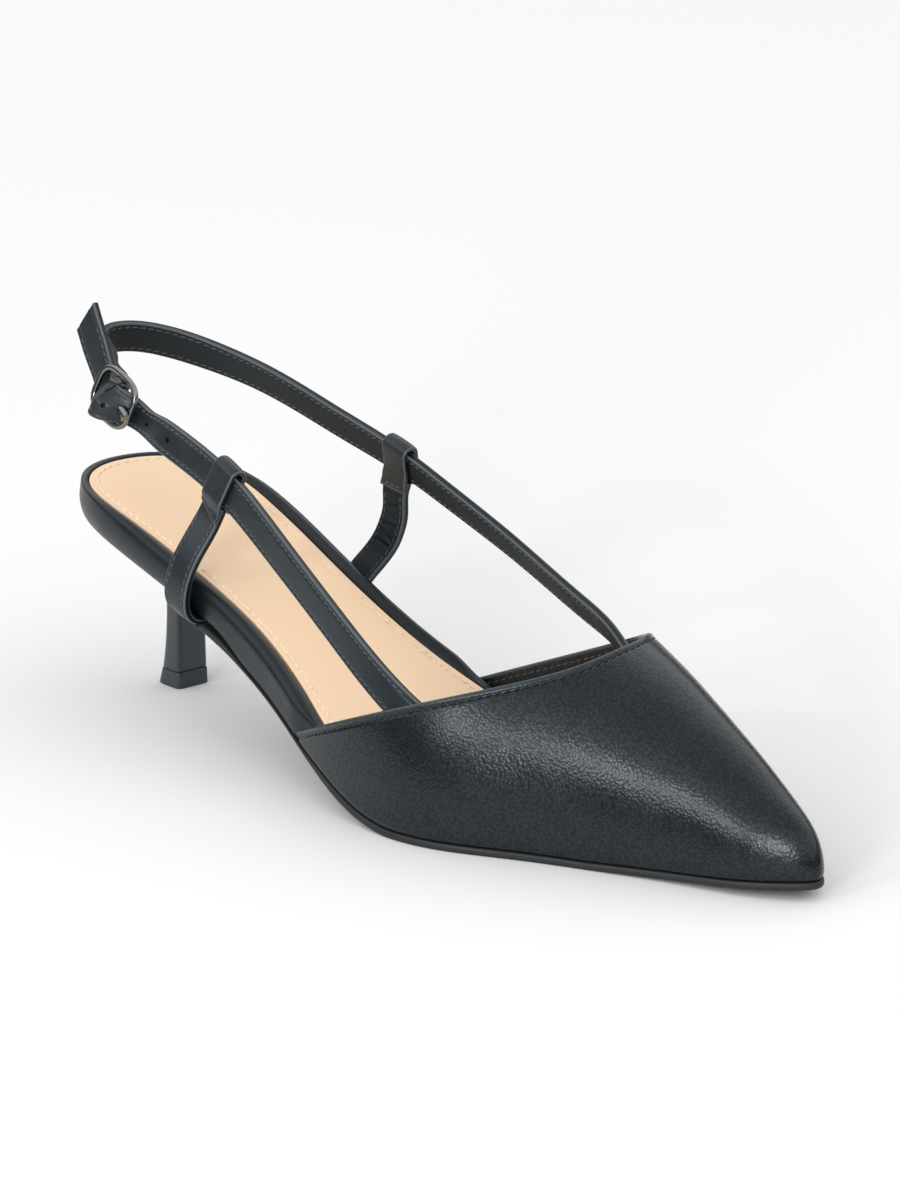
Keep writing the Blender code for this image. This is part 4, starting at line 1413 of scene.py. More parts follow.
@dataclass
class Outsole(Assembly):
    """Thin moulded sole with a rounded edge and notches for the side straps' tabs."""

    last: Last
    start: float = 56.0
    stations: int = 220
    round_off: float = 0.7
    round_share: float = 0.45
    arc_steps: int = 5
    notch_at: dict[Side, float] = field(default_factory=lambda: {Side.LATERAL: 64.0, Side.MEDIAL: 70.4})
    notch_half: float = 4.5
    notch_soft: float = 0.5
    notch_deep: float = 1.35

    def notch(self, side: Side, x: Array) -> Array:
        """Return how far the upper face drops for the tab on this side."""
        away = np.abs(x - self.notch_at[side])
        return self.notch_deep * (1.0 - smooth_step(away, self.notch_half, self.notch_half + self.notch_soft))

    def ring(self, side: Side, share: Array, turn: float, lower: bool) -> Array:
        """Return a line round the sole's rounded edge.

        Args:
            side: Side of the foot.
            share: Shares along the sole.
            turn: Angle round the arc, from the face to the wall or back.
            lower: Whether the arc joins the underside.

        Returns:
            Points along the line.
        """
        tall = self.last.sole(self.last.x(share)) - self.notch(side, self.last.x(share))
        r = np.minimum(self.round_off, self.round_share * tall)
        plan = self.last.outline(side, share, r * (1.0 - (math.cos(turn) if lower else math.sin(turn))))
        under = self.last.tread(plan[:, 0])
        z = under + r * (1.0 - math.sin(turn)) if lower else under + tall - r * (1.0 - math.cos(turn))
        return np.column_stack([plan, z])

    def build(self) -> None:
        """Make the sole."""
        shares = np.linspace(float(self.last.share(np.array(self.start))), 1.0, self.stations)
        turns = np.linspace(0.0, math.pi / 2.0, self.arc_steps)
        loops = []
        for lower, turn in ((lower, turn) for lower in (False, True) for turn in turns):
            lateral = self.ring(Side.LATERAL, shares, turn, lower)
            medial = self.ring(Side.MEDIAL, shares, turn, lower)
            loops.append(np.concatenate([lateral, medial[-2::-1]]))
        shape = Shape()
        numbers = shape.add_grid(np.array(loops))
        for ring in (numbers[0], numbers[-1]):
            sole_cap(shape, ring, self.stations)
        self.workshop.piece("outsole_edge", shape, (SOLE_RUBBER,), Slot.SOLE, "outsole")


@dataclass
class Heel(Assembly):
    """Slender moulded heel that flares to the seat, with its wearing block."""

    last: Last
    across: float = -1.2
    breast_power: float = 8.0
    back_power: float = 3.2
    sides: int = 112
    levels: int = 70
    cap_height: float = 4.4
    cap_round: float = 0.35
    cap_arc: int = 5
    cap_wall: int = 8
    # Centre, half-length and half-width at the floor and at the top of the block.
    cap_rows: Rows = ((28.35, 5.0, 5.2), (29.0, 4.2, 5.05))
    # Height, drop under the seat, share of the seat in the height, centre, half-length
    # and half-width.
    rows: Rows = (
        (4.7, 0.0, 0.0, 29.0, 4.0, 5.0),
        (10.0, 0.0, 0.0, 29.4, 3.5, 4.85),
        (17.0, 0.0, 0.0, 29.65, 3.1, 4.75),
        (24.0, 0.0, 0.0, 29.8, 3.15, 4.75),
        (28.5, 0.0, 0.0, 30.0, 3.9, 5.1),
        (32.0, 7.6, 0.3, 30.4, 5.7, 6.4),
        (35.0, 4.8, 0.7, 30.8, 9.0, 8.8),
        (37.0, 2.8, 0.95, 31.0, 13.4, 12.6),
        (38.0, 1.3, 1.0, 31.2, 18.2, 16.4),
        (40.0, 0.0, 1.0, 31.4, 21.5, 18.4),
    )

    def section(self, centre: float, half_length: float, half_width: float) -> Array:
        """Return a section in plan: flat breast in front, round behind.

        Args:
            centre: X of its middle.
            half_length: Half its length along the foot.
            half_width: Half its width across the foot.

        Returns:
            X and Y round the section.
        """
        turns = 2.0 * math.pi * (np.arange(self.sides) + 0.5) / self.sides
        run, rise = np.cos(turns), np.sin(turns)
        power = 2.0 / np.where(run > 0.0, self.breast_power, self.back_power)
        x = centre + half_length * squared_off(run, power)
        y = self.across + half_width * squared_off(rise, power)
        return np.stack([x, y], -1)

    def build(self) -> None:
        """Make the heel and its wearing block."""
        rings = []
        for height, drop, share, *size in self.rows:
            plan = self.section(*size)
            seat = self.last.seat(plan[:, 0]) - self.last.gap - drop
            rings.append(np.column_stack([plan, (1.0 - share) * height + share * seat]))
        stem = Spline(range(len(rings)), np.array(rings).reshape(len(rings), -1))
        levels = stem(np.linspace(0.0, len(rings) - 1.0, self.levels)).reshape(self.levels, self.sides, 3)
        shape = Shape()
        shape.add_tube(levels)
        self.workshop.piece("heel_stem", shape, (HEEL_LACQUER,), Slot.HEEL, "heel")
        self.workshop.piece("heel_tip", self.cap(), (TOP_RUBBER,), Slot.SOLE, "heel_top_piece")

    def cap(self) -> Shape:
        """Lay the wearing block with softened edges.

        Returns:
            The block's shape.
        """
        low, high = np.array(self.cap_rows[0]), np.array(self.cap_rows[1])
        r = self.cap_round
        turns = np.linspace(0.0, math.pi / 2.0, self.cap_arc)
        steps = [(r * (1.0 - math.sin(t)), r * (1.0 - math.cos(t))) for t in turns]
        wall = [(0.0, z) for z in np.linspace(r, self.cap_height - r, self.cap_wall)[1:-1]]
        heights = [*steps, *wall, *((inset, self.cap_height - z) for inset, z in reversed(steps))]
        rings = []
        for inset, z in heights:
            centre, half_length, half_width = low + (high - low) * z / self.cap_height
            plan = self.section(centre, half_length - inset, half_width - inset)
            rings.append(np.column_stack([plan, np.full(self.sides, z)]))
        shape = Shape()
        shape.add_tube(np.array(rings))
        return shape


# Straps


@dataclass(frozen=True)
class BandStyle:
    """Section of a flat leather band: crowned faces, stitch grooves, painted edges."""

    width: float = 8.5
    thick: float = 2.0
    round_off: float = 0.55
    crown: float = 0.07
    groove_in: float = 1.25
    groove_deep: float = 0.14
    groove_wide: float = 0.35
    seam_deep: float = 0.1
    seam_wide: float = 0.2
    thread_sink: float = 0.6
    least_wall: float = 0.1
    level_power: int = 8
    face_steps: int = 30
    arc_steps: int = 4
    edge_steps: int = 5

    def face(self, u: Array, thick: float) -> Array:
        """Return the height of a face over the band's middle.

        Args:
            u: Places across the band.
            thick: Thickness of the band here.

        Returns:
            The height at each place.
        """
        half = self.width / 2.0
        grooves = hump(np.abs(u), half - self.groove_in, self.groove_wide)
        return thick / 2.0 + self.crown * (1.0 - (u / half) ** 2) - self.groove_deep * grooves

    def edge_highlight(self) -> Array:
        """Return the painted highlight round the section: the corners get it, the rest does not."""
        corner = [1.0] * self.arc_steps
        return np.array(2 * ([0.0] * self.face_steps + corner + [0.0] * self.edge_steps + corner))

    def section(self, thick: float) -> tuple[Array, Array, Array]:
        """Return the section, outer face first.

        Args:
            thick: Thickness of the band here.

        Returns:
            Places across, heights, and the finish number of each strip: 0 the outer
            face, 1 the painted edges, 2 the inner face.
        """
        half = self.width / 2.0
        r = min(self.round_off, thick / 2.0 - self.least_wall)
        u_face = np.linspace(-(half - r), half - r, self.face_steps)
        v_face = self.face(u_face, thick)
        v_face = v_face - (v_face[0] - thick / 2.0) * np.abs(u_face / (half - r)) ** self.level_power
        turns = np.linspace(0.0, math.pi / 2.0, self.arc_steps + 2)[1:-1]
        u_arc = half - r + r * np.sin(turns)
        v_arc = thick / 2.0 - r + r * np.cos(turns)
        v_edge = np.linspace(thick / 2.0 - r, -(thick / 2.0 - r), self.edge_steps)
        u_edge = half - self.seam_deep * hump(v_edge, 0.0, self.seam_wide)
        u = np.concatenate([u_face, u_arc, u_edge, u_arc[::-1]])
        v = np.concatenate([v_face, v_arc, v_edge, -v_arc[::-1]])
        edge = [1] * (2 * self.arc_steps + self.edge_steps)
        kinds = [0] * self.face_steps + edge + [2] * self.face_steps + edge
        return np.concatenate([u, -u]), np.concatenate([v, -v]), np.array(kinds)


@dataclass
class Ribbon:
    """A band's centre line with its directions along, across and out."""

    path: Array
    across: Array
    thick: Array
    narrow: Array | float = 1.0

    def __post_init__(self) -> None:
        """Square the directions to each other and measure the line."""
        self.run = unit_rows(np.gradient(self.path, axis=0))
        along = (self.across * self.run).sum(axis=1, keepdims=True)
        self.across = unit_rows(self.across - along * self.run)
        self.out = np.cross(self.run, self.across)
        self.across = self.across * np.reshape(self.narrow, (-1, 1))
        self.lengths = line_lengths(self.path)

    def row(self, u: float, level: Array, first: float, last: float) -> tuple[Array, Array]:
        """Return a line along the band.

        Args:
            u: Place across the band.
            level: Height over its middle, for each station.
            first: Length along the band where the line starts.
            last: Length where it ends.

        Returns:
            The line's points and the directions out of that face.
        """
        keep = (self.lengths >= first) & (self.lengths <= last)
        points = self.path + u * self.across + level[:, None] * self.out
        return points[keep], (np.sign(level)[:, None] * self.out)[keep]


def route(rows: Sequence[Sequence[float]], step: float) -> Array:
    """Lay a smooth line through rows.

    Args:
        rows: Points of the line, each with a value that goes along with it.
        step: About how far apart the points of the line lie.

    Returns:
        Points along the line with their values.
    """
    table = np.asarray(rows, dtype=float)
    knots = line_lengths(table[:, :3])
    count = max(int(round(knots[-1] / step)), 2)
    return Spline(knots, table)(np.linspace(0.0, knots[-1], count + 1))


def leaning_widths(path: Array, leans: Array, inner_side: float) -> Array:
    """Return the direction across a strap, leaning in at the top.

    Args:
        path: The strap's centre line.
        leans: Degrees of lean at each point.
        inner_side: 1 if the foot lies to the right of the run, -1 if to the left.

    Returns:
        One direction for each point.
    """
    run = unit_rows(np.gradient(path, axis=0))
    inward = unit_rows(np.cross(run, UP)) * inner_side
    upright = unit_rows(UP - run * run[:, 2:3])
    turn = np.radians(leans)[:, None]
    return np.cos(turn) * upright + np.sin(turn) * inward


def softened(values: Array, reach: int = 5) -> Array:
    """Average rows with their neighbours.

    Args:
        values: The rows.
        reach: How many neighbours count on either side.

    Returns:
        As many rows, softened.
    """
    padded = np.pad(values, ((reach, reach), (0, 0)), mode="edge")
    weights = np.hanning(2 * reach + 3)[1:-1]
    weights = weights / weights.sum()
    return np.stack([np.convolve(column, weights, mode="valid") for column in padded.T], axis=1)


Relief = Callable[[Array, Array, Face], Array]
Curl = Callable[[float, Array], tuple[Array, Array]]


def sweep_band(
    shape: Shape,
    ribbon: Ribbon,
    style: BandStyle,
    outer: Face,
    relief: Relief | None = None,
    skew: float = 0.0,
    skew_reach: float = 9.0,
    curl: Curl | None = None,
    end_highlight: int = 0,
) -> None:
    """Carry a band's section along its line.

    Args:
        shape: The shape that takes the band.
        ribbon: The band's line and directions.
        style: The band's section.
        outer: Which way the outer face lies from the ribbon's out direction.
        relief: Extra height of a face from length, place across and face.
        skew: How far the far end's cut leans along the band at its edge.
        skew_reach: Length over which the far end is drawn to the skew.
        curl: How far places across the band spread and sink, from length and place.
        end_highlight: How many sections at the far end are painted lighter, as a painted highlight on the cut
            end.
    """
    rings = []
    highlight_share = []
    sign = float(outer.value)
    far = ribbon.lengths[-1]
    for number, at in enumerate(ribbon.lengths):
        u, v, kinds = style.section(float(ribbon.thick[number]))
        place = u * sign
        if relief is not None:
            length = np.full(len(u), at)
            front = np.where(kinds == 0, relief(length, place, Face.OUTER), 0.0)
            rear = np.where(kinds == 2, relief(length, place, Face.INNER), 0.0)
            v = v + front - rear
        if curl is not None:
            spread, sunk = curl(at, place)
            place = place + spread
            v = v - sunk
        slant = skew * place / (style.width / 2.0) * np.clip((at - far + skew_reach) / skew_reach, 0.0, 1.0)
        ring = ribbon.path[number] + place[:, None] * ribbon.across[number]
        ring = ring + (sign * v)[:, None] * ribbon.out[number] + slant[:, None] * ribbon.run[number]
        rings.append(ring)
        # A cut end's last sections are painted lighter all round, and elsewhere only the corners are: painted
        # highlight lines.
        highlit = number >= len(ribbon.lengths) - end_highlight
        highlight_share.append(np.ones(len(u)) if highlit else style.edge_highlight())
    shape.add_tube(np.array(rings), kinds, np.array(highlight_share))


@dataclass(frozen=True)
class BuckleAxes:
    """The buckle's place: its centre and the turn of its own axes."""

    centre: Point = (21.7, -17.2, 78.3)
    rise: float = 15.0
    turn: float = 8.0
    lean: float = 18.0

    def axes(self) -> Array:
        """Turn the buckle's axes.

        Returns:
            The directions along the strap, across it and out of it.
        """
        rise, turn, lean = (math.radians(angle) for angle in (self.rise, self.turn, self.lean))
        flat = math.cos(rise)
        along = np.array([-flat * math.cos(turn), flat * math.sin(turn), math.sin(rise)])
        outward = np.array([-math.sin(turn), -math.cos(turn), 0.0])
        upright = np.cross(along, outward)
        across = math.cos(lean) * upright - math.sin(lean) * outward
        out = math.cos(lean) * outward + math.sin(lean) * upright
        return np.array([along, across, out])

    def at(self, along: float, across: float, out: float) -> Array:
        """Return a point given in the buckle's own axes."""
        return np.array(self.centre) + np.array([along, across, out]) @ self.axes()


@dataclass
class LateralStrap(Assembly):
    """Strap from the vamp's outer side through its loop and the buckle to a free tail."""

    buckle: BuckleAxes
    style: BandStyle = BandStyle()
    step: float = 0.6
    pass_reach: float = 7.4
    pass_low: float = -2.5
    pass_rise: float = 6.9
    pass_drop: float = 1.9
    pinch: float = 0.2
    pinch_at: float = -12.0
    pinch_reach: float = 7.0
    bare_half: float = 8.5
    frame_half_length: float = 8.3
    pass_rows: int = 9
    exit_across: float = 0.6
    tail_skew: float = 2.2
    fold_wide: float = 0.6
    fold_span: Span = (-0.6, 1.2)
    # Distance from the bar, tilt across the strap, rise.
    folds: Rows = ((-0.6, 0.5, 0.42), (0.8, 0.45, -0.4), (2.2, 0.6, 0.4), (3.5, 0.5, -0.25))
    curl_reach: float = 5.5
    curl_from: float = -0.2
    curl_spread: float = 2.8
    curl_sink: float = 4.6
    hole_radius: float = 0.7
    # Distance from the bar, and how far the punch goes through the inner face.
    holes: Rows = ((-25.2, 1.9), (-14.6, 1.9), (-4.6, 1.9), (-1.8, 0.3))
    hole_out: float = -1.9
    hole_sides: int = 20
    hole_search: float = 40.0
    bar_search: float = 30.0
    stitch_from: float = 16.0
    stitch_short: float = 3.4
    thread: Thread = Thread(pitch=2.15, length=1.55, thick=0.4)
    # X, Y, Z and the lean of the upper edge towards the foot, in degrees.
    rows: Rows = (
        (167.0, -29.6, 24.0, 22.0),
        (153.2, -31.2, 30.6, 18.0),
        (125.0, -29.3, 44.2, 11.0),
        (94.0, -24.3, 57.6, 13.0),
        (70.0, -20.3, 66.5, 17.0),
        (51.0, -18.6, 71.3, 17.0),
        (41.0, -17.8, 73.6, 18.0),
    )
    # Along, across and out of the buckle, and the lean.
    tail: Rows = ((12.5, 3.0, -2.4, 18.0), (17.0, 6.3, -1.5, 20.0), (23.0, 11.1, -0.2, 22.0))

    def bulge(self, along: float) -> Array:
        """Return where the strap runs as it bulges out of the buckle over its bar."""
        share = 0.5 + 0.5 * math.cos(math.pi * along / self.pass_reach)
        return self.buckle.at(along, -self.pass_drop * share, self.pass_low + self.pass_rise * share)

    def ribbon(self) -> Ribbon:
        """Lay the strap's line: vamp, loop, buckle and free tail.

        Returns:
            The line with its directions.
        """
        rows = list(self.rows)
        for along in np.linspace(-self.pass_reach, self.pass_reach, self.pass_rows):
            rows.append((*self.bulge(along), self.buckle.lean))
        leaving = self.buckle.at(self.frame_half_length, self.exit_across, self.pass_low)
        rows.append((*leaving, self.buckle.lean))
        rows += [(*self.buckle.at(along, across, out), lean) for along, across, out, lean in self.tail]
        line = route(rows, self.step)
        widths = leaning_widths(line[:, :3], line[:, 3], 1.0)
        axes = self.buckle.axes()
        along = (line[:, :3] - np.array(self.buckle.centre)) @ axes[0]
        square = (1.0 - smooth_step(np.abs(along), self.pass_reach, 2.0 * self.pass_reach))[:, None]
        widths = softened((1.0 - square) * widths + square * axes[1])
        drawn_in = self.pinch * hump(along, self.pinch_at, self.pinch_reach)
        path = line[:, :3] - (self.style.width / 2.0 * drawn_in)[:, None] * widths
        return Ribbon(path, widths, np.full(len(line), self.style.thick), 1.0 - drawn_in)

    def punches(self, ribbon: Ribbon) -> Shape:
        """Return the punched holes as one cutter.

        Args:
            ribbon: The strap's line.

        Returns:
            A round rod through the strap at each hole.
        """
        shape = Shape()
        from_centre = ribbon.path - np.array(self.buckle.centre)
        near = np.linalg.norm(from_centre, axis=1) < self.hole_search
        along = from_centre @ self.buckle.axes()[0]
        turns = full_turn(self.hole_sides)[:, None]
        for place, inner_end in self.holes:
            number = nearest(np.abs(along - place), near)
            ring = np.cos(turns) * ribbon.run[number] + np.sin(turns) * ribbon.across[number]
            rim = ribbon.path[number] + self.hole_radius * ring
            ends = [rim + level * ribbon.out[number] for level in (self.hole_out, inner_end)]
            shape.add_tube(np.array(ends), 1)
        return shape

    def middle(self, ribbon: Ribbon) -> float:
        """Find where the strap crosses the buckle's bar.

        Args:
            ribbon: The strap's line.

        Returns:
            The length along the strap.
        """
        from_centre = ribbon.path - np.array(self.buckle.centre)
        near = np.linalg.norm(from_centre, axis=1) < self.bar_search
        along = np.abs(from_centre @ self.buckle.axes()[0])
        return float(ribbon.lengths[nearest(along, near)])

    def pressed(self, bar: float, at: float, place: Array) -> tuple[Array, Array]:
        """Press the strap's upper edge down into the frame.

        Args:
            bar: Length along the strap at the buckle's bar.
            at: Length along the strap.
            place: Places across the strap.

        Returns:
            How far the places spread and how far they sink.
        """
        upper = smooth_step(place, self.curl_from, self.style.width / 2.0)
        share = hump(at - bar, 0.0, self.curl_reach) * upper
        return self.curl_spread * share, self.curl_sink * share

    def folded(self, bar: float, length: Array, place: Array, face: Face) -> Array:
        """Fold the strap where it is drawn through the buckle.

        Args:
            bar: Length along the strap at the buckle's bar.
            length: Lengths along the strap.
            place: Places across the strap.
            face: Which face.

        Returns:
            The folds' height over the face.
        """
        folds = np.zeros(len(length))
        if face is Face.INNER:
            return folds
        for at, tilt, rise in self.folds:
            folds += rise * hump(length - bar - tilt * place, at, self.fold_wide)
        return folds * smooth_step(place, *self.fold_span)

    def build(self) -> None:
        """Make the strap, its holes and its stitches."""
        ribbon = self.ribbon()
        shape = Shape()
        bar, end = self.middle(ribbon), float(ribbon.lengths[-1])
        folds, curl = partial(self.folded, bar), partial(self.pressed, bar)
        sweep_band(shape, ribbon, self.style, Face.INNER, folds, self.tail_skew, curl=curl)
        name, holes = "strap_lateral", self.punches(ribbon)
        self.workshop.piece(name + "_leather", shape, BAND_FINISHES, Slot.LEATHER, name, holes)
        spans = {
            name: (self.stitch_from, bar - self.bare_half),
            "strap_tail": (bar + self.bare_half, end - self.stitch_short),
        }
        for label, span in spans.items():
            sew_band(self.workshop, label, ribbon, self.style, self.thread, Face.INNER, *span)


def sew_band(
    workshop: Workshop,
    name: str,
    ribbon: Ribbon,
    style: BandStyle,
    thread: Thread,
    outer: Face,
    first: float,
    last: float,
) -> None:
    """Sew the two stitch rows of a band, seen on both of its faces.

    Args:
        workshop: Where pieces are made.
        name: Name of the band.
        ribbon: The band's line and directions.
        style: The band's section.
        thread: The stitch.
        outer: Which way the outer face lies from the ribbon's out direction.
        first: Length along the band where the rows start.
        last: Length where they end.
    """
    rows = style.width / 2.0 - style.groove_in
    sink = style.groove_deep * style.thread_sink
    for face, finish, label in ((Face.OUTER, BLACK_THREAD, "outside"), (Face.INNER, GREY_THREAD, "inside")):
        shape = Shape()
        level = outer.value * face.value * (ribbon.thick / 2.0 - sink)
        for u in (-rows, rows):
            thread.sew(shape, *ribbon.row(u, level, first, last))
        workshop.piece(name + "_stitches_" + label, shape, (finish,), Slot.LEATHER)


@dataclass
class BackStrap(Assembly):
    """Strap from the vamp's inner side round the heel, folded round the buckle's bar."""

    buckle: BuckleAxes
    style: BandStyle = BandStyle()
    step: float = 0.7
    fold_step: float = 0.35
    fold_thick: float = 1.0
    fold_reach: float = 28.0
    fold_thin: float = 10.0
    fold_full: float = 16.0
    bar_radius: float = 0.7
    bar_depth: float = -1.0
    gap: float = 0.3
    turn_rows: int = 7
    slot_half: float = 1.2
    slot_span: Span = (-4.0, 2.8)
    slot_levels: Span = (-2.1, 4.0)
    stitch_from: float = 14.0
    stitch_short: float = 5.0
    thread: Thread = Thread(pitch=2.15, length=1.55, thick=0.4)
    # X, Y, Z and the lean of the upper edge towards the foot, in degrees.
    rows: Rows = (
        (176.5, 23.2, 37.4, 28.0),
        (167.6, 25.4, 40.9, 28.0),
        (153.6, 27.0, 44.8, 26.0),
        (124.0, 29.9, 52.6, 24.0),
        (97.6, 30.2, 60.3, 21.0),
        (79.5, 30.0, 65.4, 18.0),
        (56.0, 28.8, 70.6, 15.0),
        (30.0, 26.0, 76.8, 14.0),
        (14.0, 21.6, 80.2, 13.0),
        (4.0, 11.0, 84.6, 13.0),
        (0.2, 2.0, 86.2, 14.0),
        (1.4, -5.6, 85.4, 14.0),
    )
    # Along, across and out of the buckle, and the lean. On the way back, along and out.
    fold: Rows = (
        (16.5, 1.6, -7.6, 16.0),
        (11.5, 0.3, -6.2, 19.0),
        (7.0, 0.0, -6.0, 20.0),
        (3.4, 0.0, -4.9, 20.0),
    )
    fold_return: Rows = ((2.2, -0.9), (4.6, -3.5), (7.4, -4.5), (11.0, -4.55))

    def ribbon(self) -> tuple[Ribbon, float]:
        """Lay the strap's line from the vamp to its fold round the bar.

        Returns:
            The line and the length where its fold starts.
        """
        rows = list(self.rows)
        rows += [(*self.buckle.at(along, across, out), lean) for along, across, out, lean in self.fold]
        main = route(rows, self.step)
        radius = self.bar_radius + self.gap + self.fold_thick / 2.0
        turns = np.linspace(-0.5 * math.pi, -1.5 * math.pi, self.turn_rows)
        places = [(radius * math.cos(turn), self.bar_depth + radius * math.sin(turn)) for turn in turns]
        places += self.fold_return
        folded = [(*self.buckle.at(along, 0.0, out), self.buckle.lean) for along, out in places]
        fold = route(rows[-1:] + folded, self.fold_step)[1:]
        line = np.concatenate([main, fold])[:, :3]
        axes = self.buckle.axes()
        widths = np.concatenate(
            [leaning_widths(main[:, :3], main[:, 3], -1.0), np.tile(axes[1], (len(fold), 1))]
        )
        from_centre = line - np.array(self.buckle.centre)
        near = np.linalg.norm(from_centre, axis=1) < self.fold_reach
        thin = near * (1.0 - smooth_step(from_centre @ axes[0], self.fold_thin, self.fold_full))
        thick = self.style.thick + (self.fold_thick - self.style.thick) * thin
        ribbon = Ribbon(line, softened(widths), thick)
        return ribbon, float(ribbon.lengths[len(main) - 1])

    def slot(self) -> Shape:
        """Lay the slot in the fold that the prong comes through.

        Returns:
            The slot as a cutter.
        """
        start, end = self.slot_span
        half = self.slot_half
        corners = ((start, -half), (end, -half), (end, half), (start, half))
        shape = Shape()
        ends = [[self.buckle.at(*corner, out) for corner in corners] for out in self.slot_levels]
        shape.add_tube(np.array(ends), 1)
        return shape

    def build(self) -> None:
        """Make the strap and its stitches."""
        ribbon, fold_at = self.ribbon()
        shape = Shape()
        sweep_band(shape, ribbon, self.style, Face.OUTER)
        name, slot = "strap_back", self.slot()
        self.workshop.piece(name + "_leather", shape, BAND_FINISHES, Slot.LEATHER, name, slot)
        span = (self.stitch_from, fold_at - self.stitch_short)
        sew_band(self.workshop, name, ribbon, self.style, self.thread, Face.OUTER, *span)


